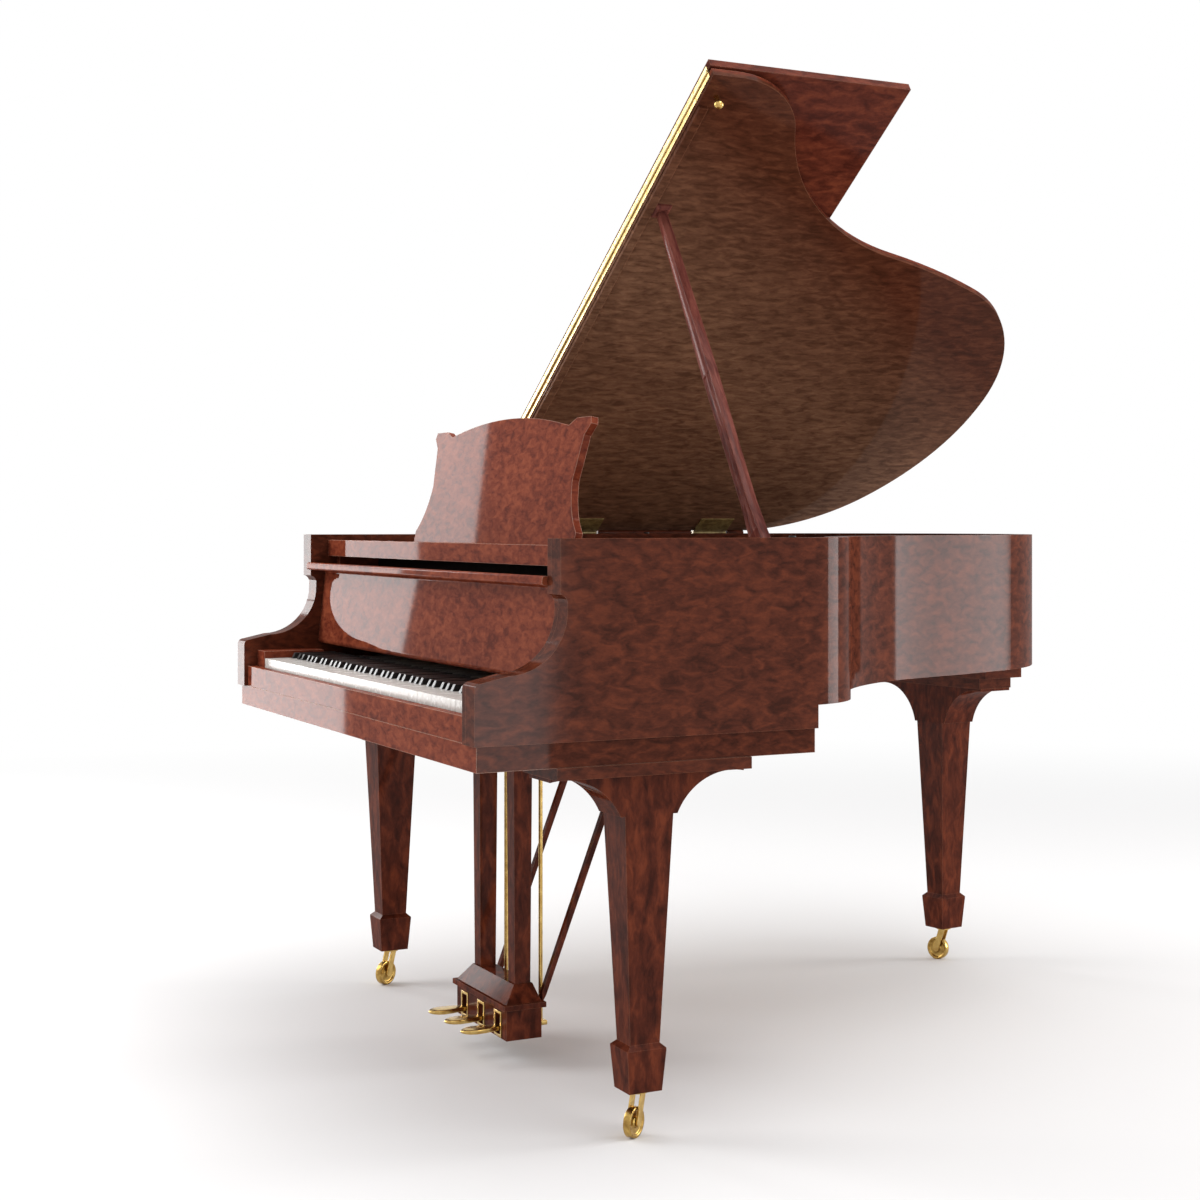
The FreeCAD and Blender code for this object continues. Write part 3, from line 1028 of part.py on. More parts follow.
def build_lyre():
    w = s.lyre_width / 2
    y0, y1 = s.lyre_front, s.lyre_front + s.lyre_depth
    box_top = s.lyre_bottom + s.lyre_box_height
    lip_top = box_top + s.lyre_lip_height
    crown_top = lip_top + s.lyre_crown_height
    body = solid_block((-w, y0, s.lyre_bottom), (w, y1, box_top))
    lip = solid_block((-w - s.lyre_lip, y0 - s.lyre_lip, box_top), (w + s.lyre_lip, y1 + s.lyre_lip, lip_top))

    def ring(x, low, high, z):
        return Part.makePolygon([Vector(-x, low, z), Vector(x, low, z), Vector(x, high, z),
                                 Vector(-x, high, z),
                                 Vector(-x, low, z)])

    inset = s.lyre_crown_inset
    post_back = y0 + inset + s.post_size
    crown = Part.makeLoft([ring(w, y0, y1, lip_top), ring(w - inset, y0 + inset, post_back, crown_top)],
                          True, True)
    slots, bores, pins = [], [], []
    for name, side in pedal_names:
        x = side * s.pedal_spread
        h = s.slot_width / 2
        slots.append(solid_block((x - h, y0 - s.overrun, s.slot_bottom),
                                 (x + h, y1 + s.overrun, s.slot_bottom + s.slot_height)))
        at = Vector(x - s.slot_width, s.pedal_pivot_y, s.pedal_z)
        pins.append(Part.makeCylinder(s.pedal_pin_radius, 2 * s.slot_width, at, Vector(1, 0, 0)))
        bores.append(Part.makeCylinder(s.pedal_pin_radius + s.pin_clearance, 2 * s.slot_width, at,
                                       Vector(1, 0, 0)))
    whole = body.fuse([lip, crown]).removeSplitter().cut(slots + bores)
    node("lyre_box", solids("lyre_box_block", whole.Solids))
    node("pedal_pins", solids("pedal_pin_set", pins))

    posts = []
    head_low = s.keybed_bottom - s.lyre_head_height
    for sign in (-1, 1):
        x = sign * s.post_spread / 2
        low, high = s.post_size / 2 - s.post_taper / 2, s.post_size / 2
        y = y0 + inset + high
        rings = [Part.makePolygon([Vector(x + a * k, y + b * k, z) for a, b in
                                   ((-1, -1), (1, -1), (1, 1), (-1, 1), (-1, -1))])
                 for k, z in ((low, crown_top), (high, head_low))]
        posts.append(Part.makeLoft(rings, True, True))
    middle = y0 + inset + s.post_size / 2
    hw, hd = s.lyre_head_width / 2, s.lyre_head_depth / 2
    head = solid_block((-hw, middle - hd, head_low), (hw, middle + hd, s.keybed_bottom))
    node("lyre_posts", solids("lyre_frame", [head.fuse(posts).Solids[0]]))
    braces = []
    for sign in (-1, 1):
        x = sign * s.brace_spread / 2
        foot = Vector(x, s.brace_foot_y, s.brace_foot_z)
        top = Vector(x, s.brace_top_y, s.keybed_bottom - s.brace_pad_height)
        b = s.brace_size / 2
        pad = s.brace_pad / 2
        side = [(y1 + s.lyre_lip, foot.z - b), (foot.y + b, foot.z + b), (top.y + b, top.z),
                (top.y - b, top.z),
                (y1 + s.lyre_lip, foot.z + 2 * b)]
        face = Part.Face(Part.makePolygon([Vector(x - b, y, z) for y, z in side + side[:1]]))
        stick = face.extrude(Vector(2 * b, 0, 0))
        cap = solid_block((x - pad, top.y - pad, top.z), (x + pad, top.y + pad, s.keybed_bottom))
        braces.append(stick.fuse(cap).Solids[0])
    node("lyre_braces", solids("brace_pair", braces))


def build_pedals():
    t = s.pedal_thick / 2
    for name, side in pedal_names:
        x = side * s.pedal_spread
        w, tip = s.pedal_width / 2, s.pedal_tip_width / 2
        y0, y1 = s.pedal_tip_y, s.pedal_back_y
        toe = y0 + s.pedal_tip_width
        neck = s.lyre_front - s.lyre_lip
        outline = [arc((x - tip, toe), (x, y0), (x + tip, toe)), line((x + tip, toe), (x + w, neck)),
                   line((x + w, neck), (x + w, y1)), line((x + w, y1), (x - w, y1)),
                   line((x - w, y1), (x - w, neck)), line((x - w, neck), (x - tip, toe))]
        plate = prism("pedal_plate_" + name, "XY_Plane", outline, "pedal_thick", s.pedal_z - t)
        hub = bar("pedal_hub_" + name, "pedal_thick", "pedal_width", Vector(
            x - w, s.pedal_pivot_y, s.pedal_z), Vector(1, 0, 0))
        bore = bar("pedal_bore_" + name, "pedal_pin_radius + pin_clearance", "pedal_width + 2 * overrun",
                   Vector(
            x - w - s.overrun, s.pedal_pivot_y, s.pedal_z), Vector(1, 0, 0))
        node("pedal_" + name, cut("pedal_cut_" + name, fuse("pedal_fuse_" + name, plate, hub), bore))
        rod = bar("rod_" + name, "rod_radius",
                  "keybed_bottom + rod_entry - pedal_z - pedal_thick / 2 - rod_seat",
                  Vector(x, s.rod_y, s.pedal_z + t + s.rod_seat), Vector(0, 0, 1))
        node("pedal_rod_" + name, rod)


build_case()
build_keys()
build_action()
build_fallboard()
build_music_desk()
build_lid()
build_prop()
build_strings()
build_plate()
build_soundboard()
build_dampers()
build_legs()
build_casters()
build_lyre()
build_pedals()

doc.recompute()
failed = [o.Name for o in doc.Objects if {"Invalid", "Error"} & set(o.State)]
if failed:
    raise RuntimeError("objects failed: " + ", ".join(failed))
for made in nodes:
    if made.Shape.isNull() or not made.Shape.isValid() or not made.Shape.Solids:
        raise RuntimeError("bad shape: " + made.Label)
os.makedirs("parts", exist_ok=True)
for made in nodes:
    made.Shape.exportStep("parts/%s.step" % made.Label)
print("wrote %d sub-parts" % len(nodes))
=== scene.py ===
import json
import math
import bpy
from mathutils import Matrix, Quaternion, Vector


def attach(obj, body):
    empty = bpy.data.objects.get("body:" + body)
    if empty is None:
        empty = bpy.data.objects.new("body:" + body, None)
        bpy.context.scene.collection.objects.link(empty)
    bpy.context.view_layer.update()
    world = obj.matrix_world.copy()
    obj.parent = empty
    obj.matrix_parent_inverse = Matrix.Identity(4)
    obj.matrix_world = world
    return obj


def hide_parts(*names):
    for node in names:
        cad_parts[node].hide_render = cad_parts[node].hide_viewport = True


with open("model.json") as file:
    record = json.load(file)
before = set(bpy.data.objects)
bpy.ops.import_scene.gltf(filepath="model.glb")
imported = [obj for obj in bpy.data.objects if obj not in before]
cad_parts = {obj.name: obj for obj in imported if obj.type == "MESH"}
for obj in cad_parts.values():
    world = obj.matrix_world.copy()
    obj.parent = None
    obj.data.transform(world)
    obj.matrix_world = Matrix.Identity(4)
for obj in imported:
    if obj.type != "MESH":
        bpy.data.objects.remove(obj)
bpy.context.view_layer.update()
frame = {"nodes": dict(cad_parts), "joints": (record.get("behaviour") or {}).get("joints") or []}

nodes = frame["nodes"]
print("frame loaded with", len(nodes), "nodes")

# Line of the lid's hinge pins, and the angle in degrees at which the lid stands open.
lidLine = {"x": -0.7254, "z": 1.0016, "open": 33.87}
plainWhite = (1, 1, 1, 1)
# Pale colour along an edge, part wear and part painted highlight, begins and is full at these cosines between
# its flat and its rounded normal.
edgeLook = {"samples": 6, "wornAndHighlit": (0.985, 0.8)}


# Shader writing: sockets add up as numbers do, and every other node comes from Board.node.
class Sock:
    def __init__(self, board, link):
        self.board = board
        self.link = link

    def join(self, how, first, second):
        return self.board.node("ShaderNodeMath", {"operation": how}, {0: first, 1: second})

    def __add__(self, other):
        return self.join("ADD", self, other)

    def __radd__(self, other):
        return self.join("ADD", other, self)

    def __sub__(self, other):
        return self.join("SUBTRACT", self, other)

    def __rsub__(self, other):
        return self.join("SUBTRACT", other, self)

    def __mul__(self, other):
        return self.join("MULTIPLY", self, other)

    def __rmul__(self, other):
        return self.join("MULTIPLY", other, self)

    def __gt__(self, other):
        return self.join("GREATER_THAN", self, other)

    def __lt__(self, other):
        return self.join("LESS_THAN", self, other)


class Board:
    def __init__(self, owner):
        self.owner = owner
        owner.use_nodes = True
        self.tree = owner.node_tree
        self.tree.nodes.clear()

    def node(self, kind, settings={}, sockets={}, out=0):
        made = self.tree.nodes.new(kind)
        for key, value in settings.items():
            if key == "stops":
                self.fillRamp(made.color_ramp.elements, value)
            else:
                setattr(made, key, value)
        for key, value in sockets.items():
            if isinstance(value, Sock):
                self.tree.links.new(value.link, made.inputs[key])
            else:
                made.inputs[key].default_value = value
        return Sock(self, made.outputs[out]) if len(made.outputs) else made

    def fillRamp(self, elements, stops):
        while len(elements) < len(stops):
            elements.new(1)
        for element, (place, colour) in zip(elements, stops):
            element.position = place
            element.color = colour

    def place(self, stretch=(1, 1, 1), turn=(0, 0, 0)):
        spot = self.node("ShaderNodeTexCoord", out="Object")
        turn = [math.radians(angle) for angle in turn]
        turned = self.node("ShaderNodeMapping", {"vector_type": "TEXTURE"},
                           {"Vector": spot, "Rotation": turn})
        return self.node("ShaderNodeMapping", {}, {"Vector": turned, "Scale": stretch})

    def axis(self, which):
        spot = self.node("ShaderNodeTexCoord", out="Object")
        return self.node("ShaderNodeSeparateXYZ", {}, {0: spot}, which)

    def noise(self, spot, scale, detail=2, rough=0.5, warp=0):
        return self.node("ShaderNodeTexNoise", {}, {"Vector": spot, "Scale": scale, "Detail": detail,
                                                    "Roughness": rough, "Distortion": warp})

    def ramp(self, share, places, colours):
        return self.node("ShaderNodeValToRGB", {"stops": list(zip(places, colours))}, {"Fac": share})

    def mix(self, share, first, second):
        return self.node("ShaderNodeMix", {"data_type": "RGBA"}, {0: share, 6: first, 7: second}, 2)

    def span(self, value, limits, how="LINEAR"):
        # 0 at the first limit, 1 at the second
        start, end = limits
        return self.node("ShaderNodeMapRange", {"interpolation_type": how},
                         {"Value": value, "From Min": start, "From Max": end})

    def edge(self, radius):
        return self.node("ShaderNodeBevel", {"samples": edgeLook["samples"]}, {"Radius": radius})

    def wornAndHighlit(self, rounded):
        # 0 on flat ground, 1 along an edge, where the painted highlight and wear go
        flat = self.node("ShaderNodeNewGeometry", out="Normal")
        level = self.node("ShaderNodeVectorMath", {"operation": "DOT_PRODUCT"},
                          {0: rounded, 1: flat}, "Value")
        return self.span(level, edgeLook["wornAndHighlit"])

    def bump(self, height, depth, strength, normal=None):
        sockets = {"Height": height, "Distance": depth, "Strength": strength}
        if normal:
            sockets["Normal"] = normal
        return self.node("ShaderNodeBump", {}, sockets)

    def shown(self):
        # 1 for what the eye sees straight on, in a gloss or through glass
        rays = self.node("ShaderNodeLightPath").link.node.outputs
        seen = Sock(self, rays["Is Camera Ray"]) + Sock(self, rays["Is Glossy Ray"])
        seen = seen + Sock(self, rays["Is Transmission Ray"])
        return self.node("ShaderNodeMath", {"operation": "MINIMUM"}, {0: seen, 1: 1})

    def close(self, sockets):
        skin = self.node("ShaderNodeBsdfPrincipled", {}, sockets)
        self.node("ShaderNodeOutputMaterial", {}, {"Surface": skin})
        return self.owner


def rgb(red, green, blue):
    # screen colour to the linear one that shaders take
    shades = [part / 255 for part in (red, green, blue)]
    return tuple(v / 12.92 if v < 0.04 else ((v + 0.055) / 1.055) ** 2.4 for v in shades) + (1,)


def newBoard(name):
    return Board(bpy.data.materials.new(name))


# In the looks below, a noise is its scale, detail, roughness and warp, rough is the least and what a pattern
# adds to it, bump is depth and strength, and places are the stops of a ramp.
def varied(amounts, pattern):
    least, added = amounts
    return least + pattern * added


# Mottled veneer under clear lacquer: slow drift, blotches, darker smears and fine pores. Blotches and smears
# take their scale from each veneer's own blotch.
veneerGrain = {
    "drift": 4, "blotch": (2, 0.5, 0.7), "smear": (3, 0.6, 1), "smearFiner": 2.6,
    "shares": (0.66, 0.26, 0.2, 0.1), "shift": 0.11, "places": (0.36, 0.5, 0.66),
    "rough": (0.3, 0.08), "bump": (0.00004, 0.3),
}
# The pale edge colour of each veneer below is part wear, part painted highlight.
sideVeneer = {
    "tones": (rgb(56, 26, 17), rgb(77, 37, 25), rgb(98, 48, 31)),
    "stretch": (1, 1, 2.2), "turn": (0, 0, 0), "blotch": 30, "pore": (160, 160, 900),
    "coat": 0.2, "coatRough": 0.08, "edge": 0.0014, "wearAndHighlight": 0.5, "rubbedAndHighlitTone": rgb(176, 118, 92),
}
frontVeneer = dict(
    sideVeneer, tones=(rgb(88, 38, 27), rgb(114, 53, 36), rgb(136, 69, 46)), blotch=34,
    coat=0.14, coatRough=0.03, edge=0.002, wearAndHighlight=0.8, rubbedAndHighlitTone=rgb(214, 170, 148))
# The keybed's ends show below the case side and take its colour.
bedVeneer = dict(frontVeneer, flank=sideVeneer["tones"], middle=0.0106, reach=(0.719, 0.7197))
legVeneer = dict(
    sideVeneer, tones=(rgb(54, 23, 15), rgb(78, 35, 23), rgb(106, 50, 31)),
    stretch=(2.2, 2.2, 0.9), blotch=22, pore=(900, 900, 120), coat=0.16)
flapVeneer = dict(
    sideVeneer, tones=(rgb(66, 28, 20), rgb(90, 41, 29), rgb(112, 55, 37)),
    stretch=(2.2, 1, 2.2), turn=(0, -lidLine["open"], 0), blotch=22, coat=0.12, edge=0.004, wearAndHighlight=0.3)
# The lid's underside is painted paler towards its hinge, a painted reflection of the case's inside, and its
# top has the flap's colours.
lidVeneer = dict(
    sideVeneer, tones=(rgb(60, 31, 20), rgb(76, 40, 27), rgb(94, 53, 36)),
    stretch=(3, 1, 3), turn=(0, -lidLine["open"], 0), blotch=24, pore=(900, 120, 900),
    coat=0.1, coatRough=0.06, edge=0.003, wearAndHighlight=0.3,
    paintedReflectionTones=(rgb(90, 62, 47), rgb(112, 80, 62), rgb(134, 98, 76)), paintedReflectionSpan=(-0.1, 0.28), paintedReflectionSlant=0.6,
    above=flapVeneer["tones"], skin=(1.2444, 1.2464))
propVeneer = dict(
    sideVeneer, tones=(rgb(74, 37, 33), rgb(98, 52, 45), rgb(122, 70, 60)),
    stretch=(3, 3, 0.6), turn=(0, -37, 0), blotch=24, pore=(900, 900, 90), coat=0.1, coatRough=0.1)


def paintVeneer(name, look):
    board = newBoard(name)
    grain = veneerGrain
    laid = board.place(look["stretch"], look["turn"])
    drift = board.noise(laid, grain["drift"])
    blotch = board.noise(laid, look["blotch"], *grain["blotch"])
    smear = board.noise(laid, look["blotch"] * grain["smearFiner"], *grain["smear"])
    pore = board.noise(board.place(look["pore"], look["turn"]), 1)
    ofBlotch, ofSmear, ofDrift, ofPore = grain["shares"]
    tone = blotch * ofBlotch + smear * ofSmear + drift * ofDrift + pore * ofPore - grain["shift"]
    colour = board.ramp(tone, grain["places"], look["tones"])
    # painted reflection: the lid's underside grows paler towards its hinge, standing in for the inside of the
    # case mirrored there
    if "paintedReflectionTones" in look:
        pale = board.ramp(tone, grain["places"], look["paintedReflectionTones"])
        along = board.axis("X") + board.axis("Y") * look["paintedReflectionSlant"]
        under = board.mix(board.span(along, look["paintedReflectionSpan"]), pale, colour)
        # height square to the open lid tells its top from its underside
        tilt = math.radians(-look["turn"][1])
        height = board.axis("Z") * math.cos(tilt) - board.axis("X") * math.sin(tilt)
        above = board.ramp(tone, grain["places"], look["above"])
        colour = board.mix(board.span(height, look["skin"]), under, above)
    if "flank" in look:
        off = board.axis("X") - look["middle"]
        outer = board.span(off * off, [reach ** 2 for reach in look["reach"]])
        colour = board.mix(outer, colour, board.ramp(tone, grain["places"], look["flank"]))
    rounded = board.edge(look["edge"])
    # pale edges: part wear, part painted highlight where an edge would catch the light
    colour = board.mix(board.wornAndHighlit(rounded) * look["wearAndHighlight"], colour, look["rubbedAndHighlitTone"])
    return board.close({
        "Base Color": colour, "Roughness": varied(grain["rough"], pore), "Specular IOR Level": 0,
        "Coat Weight": look["coat"], "Coat Roughness": look["coatRough"],
        "Normal": board.bump(pore, *grain["bump"], rounded)})


# Metals: brass in four states, and steel, all cloudy and finely brushed.
brassLook = {
    "bright": rgb(214, 182, 112), "dull": rgb(182, 146, 80), "edge": 0.0008, "metal": 1,
    "cloud": (60, 3, 0.6, 0.5), "brush": (40, 900, 900), "places": (0.35, 0.65),
    "rough": (0.16, 0.16), "bump": (0.00002, 0.3),
}
wheelLook = dict(brassLook, bright=rgb(206, 172, 98), dull=rgb(150, 116, 60), edge=0.0004)
# The hinge leaves and prop bracket take darker, duller brass: part age, part painted shade for the shadow
# they sit in.
agedAndShadedLook = dict(brassLook, bright=rgb(164, 142, 92), dull=rgb(124, 104, 66), edge=0.0006, metal=0.25)
stripLook = dict(brassLook, bright=rgb(240, 220, 162), dull=rgb(222, 196, 132), edge=0.0006)
steelLook = dict(brassLook, bright=rgb(205, 206, 208), dull=rgb(150, 152, 156), edge=0.0004)


def paintBrass(name, look):
    board = newBoard(name)
    cloud = board.noise(board.place(), *look["cloud"])
    brushed = board.noise(board.place(look["brush"]), 1)
    return board.close({
        "Base Color": board.ramp(cloud, look["places"], (look["dull"], look["bright"])),
        "Metallic": look["metal"], "Roughness": varied(look["rough"], cloud),
        "Normal": board.bump(brushed, *look["bump"], board.edge(look["edge"]))})


giltLook = {
    "light": rgb(196, 158, 92), "dark": rgb(150, 112, 58), "edge": 0.003, "metal": 0.55,
    "cloud": (9, 3), "flake": (900, 1), "shares": (0.6, 0.4), "places": (0.35, 0.65),
    "rough": (0.34, 0.16), "bump": (0.0002, 0.25),
}


def paintGilt(name, look):
    board = newBoard(name)
    cloud = board.noise(board.place(), *look["cloud"])
    flake = board.noise(board.place(), *look["flake"])
    ofCloud, ofFlake = look["shares"]
    tone = cloud * ofCloud + flake * ofFlake
    return board.close({
        "Base Color": board.ramp(tone, look["places"], (look["dark"], look["light"])),
        "Metallic": look["metal"], "Roughness": varied(look["rough"], flake),
        "Normal": board.bump(flake, *look["bump"], board.edge(look["edge"]))})


# Plain woods inside the case: straight grain under thin varnish.
spruceLook = {
    "early": rgb(214, 176, 118), "late": rgb(176, 128, 76), "lines": (420, 2, 0.6), "turn": (0, 0, 38),
    "stretch": (1, 0.035, 1), "cloud": 7, "shares": (0.8, 0.2), "places": (0.38, 0.6),
    "rough": (0.38, 0.12), "coat": 0.25, "coatRough": 0.12, "bump": (0.00006, 0.4), "edge": 0.0012,
}
mapleLook = dict(
    spruceLook, early=rgb(206, 168, 120), late=rgb(178, 136, 92), lines=(260, 2, 0.6), turn=(0, 0, 0))


def paintPlainWood(name, look):
    board = newBoard(name)
    lines = board.noise(board.place(look["stretch"], look["turn"]), *look["lines"])
    cloud = board.noise(board.place(), look["cloud"])
    ofLines, ofCloud = look["shares"]
    tone = lines * ofLines + cloud * ofCloud
    return board.close({
        "Base Color": board.ramp(tone, look["places"], (look["late"], look["early"])),
        "Roughness": varied(look["rough"], lines),
        "Coat Weight": look["coat"], "Coat Roughness": look["coatRough"],
        "Normal": board.bump(lines, *look["bump"], board.edge(look["edge"]))})


whiteKeyLook = {
    "top": rgb(208, 204, 199), "warm": rgb(198, 193, 186), "places": (0.3, 0.6),
    "cloud": (140, 3), "cloudStretch": (1, 0.2, 1), "grain": (900, 1), "grainStretch": (1, 0.1, 1),
    "rough": (0.2, 0.12), "gloss": 0.4, "bump": (0.00002, 0.3), "edge": 0.0012,
}


def paintWhiteKeys(name, look):
    board = newBoard(name)
    cloud = board.noise(board.place(look["cloudStretch"]), *look["cloud"])
    grain = board.noise(board.place(look["grainStretch"]), *look["grain"])
    return board.close({
        "Base Color": board.ramp(cloud, look["places"], (look["warm"], look["top"])),
        "Roughness": varied(look["rough"], cloud), "Specular IOR Level": look["gloss"],
        "Normal": board.bump(grain, *look["bump"], board.edge(look["edge"]))})


blackKeyLook = {
    "high": rgb(26, 25, 25), "low": rgb(13, 13, 14), "grain": (700, 2), "stretch": (1, 0.06, 1),
    "places": (0.35, 0.65), "rough": (0.26, 0.16), "gloss": 0.4, "bump": (0.00003, 0.4), "edge": 0.0016,
}
rubberLook = dict(blackKeyLook, high=rgb(34, 33, 33), low=rgb(20, 20, 21))


def paintBlackKeys(name, look):
    board = newBoard(name)
    grain = board.noise(board.place(look["stretch"]), *look["grain"])
    return board.close({
        "Base Color": board.ramp(grain, look["places"], (look["low"], look["high"])),
        "Roughness": varied(look["rough"], grain), "Specular IOR Level": look["gloss"],
        "Normal": board.bump(grain, *look["bump"], board.edge(look["edge"]))})


# Bass strings, which lie above the split, are wound with copper, and the rest are plain steel.
wireLook = {
    "copper": rgb(196, 116, 72), "steel": rgb(178, 180, 184), "split": 0.937, "winding": (900, 1),
    "rough": (0.24, 0.14), "bump": (0.0002, 0.3),
}


def paintWires(name, look):
    board = newBoard(name)
    wound = board.axis("Z") > look["split"]
    turns = board.noise(board.place(), *look["winding"])
    return board.close({
        "Base Color": board.mix(wound, look["steel"], look["copper"]), "Metallic": 1,
        "Roughness": varied(look["rough"], turns), "Normal": board.bump(turns, *look["bump"])})


# Damper heads are black above pale felt, and hammers are felt on maple.
damperLook = {
    "felt": rgb(222, 216, 202), "dusty": rgb(170, 162, 146), "head": rgb(24, 23, 23),
    "streak": rgb(60, 44, 34), "split": 0.9545, "feltBelow": True,
    "fuzz": (1400, 3, 0.7), "grain": (400, 2), "grainStretch": (1, 1, 0.1), "dust": 0.35, "streaks": 0.4,
    "rough": (0.35, 0.55), "bump": (0.0003, 0.4), "edge": 0.001,
}
hammerLook = dict(
    damperLook, felt=rgb(226, 220, 206), head=rgb(190, 146, 98), split=0.872, feltBelow=False)


def paintFeltTipped(name, look):
    board = newBoard(name)
    height = board.axis("Z")
    split = height < look["split"] if look["feltBelow"] else height > look["split"]
    fuzz = board.noise(board.place(), *look["fuzz"])
    grain = board.noise(board.place(look["grainStretch"]), *look["grain"])
    dyed = board.mix(fuzz * look["dust"], look["felt"], look["dusty"])
    wood = board.mix(grain * look["streaks"], look["head"], look["streak"])
    return board.close({
        "Base Color": board.mix(split, wood, dyed), "Roughness": varied(look["rough"], split),
        "Normal": board.bump(fuzz, *look["bump"], board.edge(look["edge"]))})


darkFeltLook = {
    "deep": rgb(20, 14, 12), "lit": rgb(36, 27, 23), "fuzz": (1100, 4, 0.7), "cloud": 60,
    "shares": (0.7, 0.3), "places": (0.35, 0.65), "rough": 0.95, "gloss": 0.1, "bump": (0.0005, 0.6),
}


def paintFelt(name, look):
    board = newBoard(name)
    fuzz = board.noise(board.place(), *look["fuzz"])
    cloud = board.noise(board.place(), look["cloud"])
    ofFuzz, ofCloud = look["shares"]
    tone = fuzz * ofFuzz + cloud * ofCloud
    return board.close({
        "Base Color": board.ramp(tone, look["places"], (look["deep"], look["lit"])),
        "Roughness": look["rough"], "Specular IOR Level": look["gloss"],
        "Normal": board.bump(fuzz, *look["bump"])})


finishes = {
    "side": paintVeneer("veneerSide", sideVeneer),
    "front": paintVeneer("veneerFront", frontVeneer),
    "leg": paintVeneer("veneerLeg", legVeneer),
    "bed": paintVeneer("veneerBed", bedVeneer),
    "lid": paintVeneer("veneerLid", lidVeneer),
    "flap": paintVeneer("veneerFlap", flapVeneer),
    "prop": paintVeneer("veneerProp", propVeneer),
    "brass": paintBrass("polishedBrass", brassLook),
    "steel": paintBrass("brightSteel", steelLook),
    "gilt": paintGilt("giltIron", giltLook),
    "spruce": paintPlainWood("spruceBoard", spruceLook),
    "maple": paintPlainWood("mapleWood", mapleLook),
    "white": paintWhiteKeys("whiteKeyCaps", whiteKeyLook),
    "black": paintBlackKeys("blackKeyWood", blackKeyLook),
    "wire": paintWires("pianoWire", wireLook),
    "damper": paintFeltTipped("damperFelt", damperLook),
    "hammer": paintFeltTipped("hammerFelt", hammerLook),
    "darkFelt": paintFelt("darkFelt", darkFeltLook),
    "wheel": paintBrass("wheelBrass", wheelLook),
    "dimBrass": paintBrass("agedAndShadedBrass", agedAndShadedLook),
    "paleBrass": paintBrass("stripBrass", stripLook),
    "rubber": paintBlackKeys("blackRubber", rubberLook),
}
dressed = {
    "side": ("outer_rim", "arm_cheeks", "leg_plates", "belly_rail"),
    "front": ("fallboard", "music_desk", "music_shelf", "key_slip", "key_blocks", "shelf_runners"),
    "bed": ("keybed",),
    "leg": ("front_leg_left", "front_leg_right", "rear_leg", "lyre_posts", "lyre_braces", "lyre_box"),
    "lid": ("lid_panel", "lid_batten"),
    "flap": ("flap_panel",),
    "prop": ("lid_prop", "prop_cup"),
    "dimBrass": ("butt_hinge_lid_leaves", "butt_hinge_rim_leaves", "prop_bracket"),
    "brass": ("caster_fork_left", "caster_fork_right", "caster_fork_rear",
              "caster_wheel_left", "caster_wheel_right", "caster_wheel_rear",
              "desk_hinge_desk_leaves", "desk_hinge_shelf_leaves", "fallboard_pins", "lid_knob",
              "pedal_left", "pedal_middle", "pedal_right",
              "pedal_rod_left", "pedal_rod_middle", "pedal_rod_right"),
    "paleBrass": ("strip_hinge_flap_leaf", "strip_hinge_lid_leaf"),
    "steel": ("pedal_pins", "tuning_pins"),
    "gilt": ("iron_plate",),
    "spruce": ("soundboard", "soundboard_ribs", "case_beams"),
    "maple": ("inner_rim", "bridges", "pin_block", "key_frame", "action_frame"),
    "white": ("white_keys_odd", "white_keys_even"),
    "black": ("black_keys",),
    "wire": ("strings",),
    "damper": ("dampers",),
    "hammer": ("hammers",),
}
for finish, names in dressed.items():
    for name in names:
        nodes[name].data.materials.clear()
        nodes[name].data.materials.append(finishes[finish])
print("finishes on", sum(len(names) for names in dressed.values()), "nodes")

# Modelling by hand: small helpers that pick parts of a mesh by place, and finish a piece.
# In the pieces below, steps are the thickness and depth of each inset, and rounding is the bevel's width,
# segments and least angle.
joints = {joint["name"]: joint for joint in frame["joints"]}
squareOn = 0.9     # a face looks along an axis where its normal passes this
ringReach = 1e-4   # points this near to a cut belong to its ring
roundSmooth = 40   # degrees up to which a rounded piece is shaded smooth
upright = (math.radians(90), 0, 0)


def startPiece(name, kind, at, stretch=(1, 1, 1), **options):
    bpy.ops.object.select_all(action="DESELECT")
    kind(location=at, **options)
    piece = bpy.context.object
    piece.name = name
    piece.scale = stretch
    bpy.ops.object.transform_apply(location=True, rotation=True, scale=True)
    return piece


def choose(piece, what, test):
    bpy.ops.object.mode_set(mode="EDIT")
    bpy.ops.mesh.select_mode(type=what)
    bpy.ops.mesh.select_all(action="DESELECT")
    bpy.ops.object.mode_set(mode="OBJECT")
    parts = {"VERT": piece.data.vertices, "FACE": piece.data.polygons}[what]
    for part in parts:
        part.select = test(part)
    bpy.ops.object.mode_set(mode="EDIT")


def chooseRing(piece, axis, place):
    choose(piece, "VERT", lambda vert: abs(vert.co[axis] - place) < ringReach)


def chooseFacing(piece, axis, side):
    choose(piece, "FACE", lambda part: part.normal[axis] * side > squareOn)


def chooseAll(piece):
    choose(piece, "FACE", lambda part: True)


def insetBy(steps):
    for thickness, depth in steps:
        bpy.ops.mesh.inset(thickness=thickness, depth=depth)


def cutAcross(spots, normal):
    bpy.ops.object.mode_set(mode="EDIT")
    for spot in spots:
        bpy.ops.mesh.select_all(action="SELECT")
        bpy.ops.mesh.bisect(plane_co=spot, plane_no=normal)
    bpy.ops.object.mode_set(mode="OBJECT")


def shadeSmooth(angle):
    bpy.ops.object.mode_set(mode="OBJECT")
    bpy.ops.object.shade_smooth_by_angle(angle=math.radians(angle))


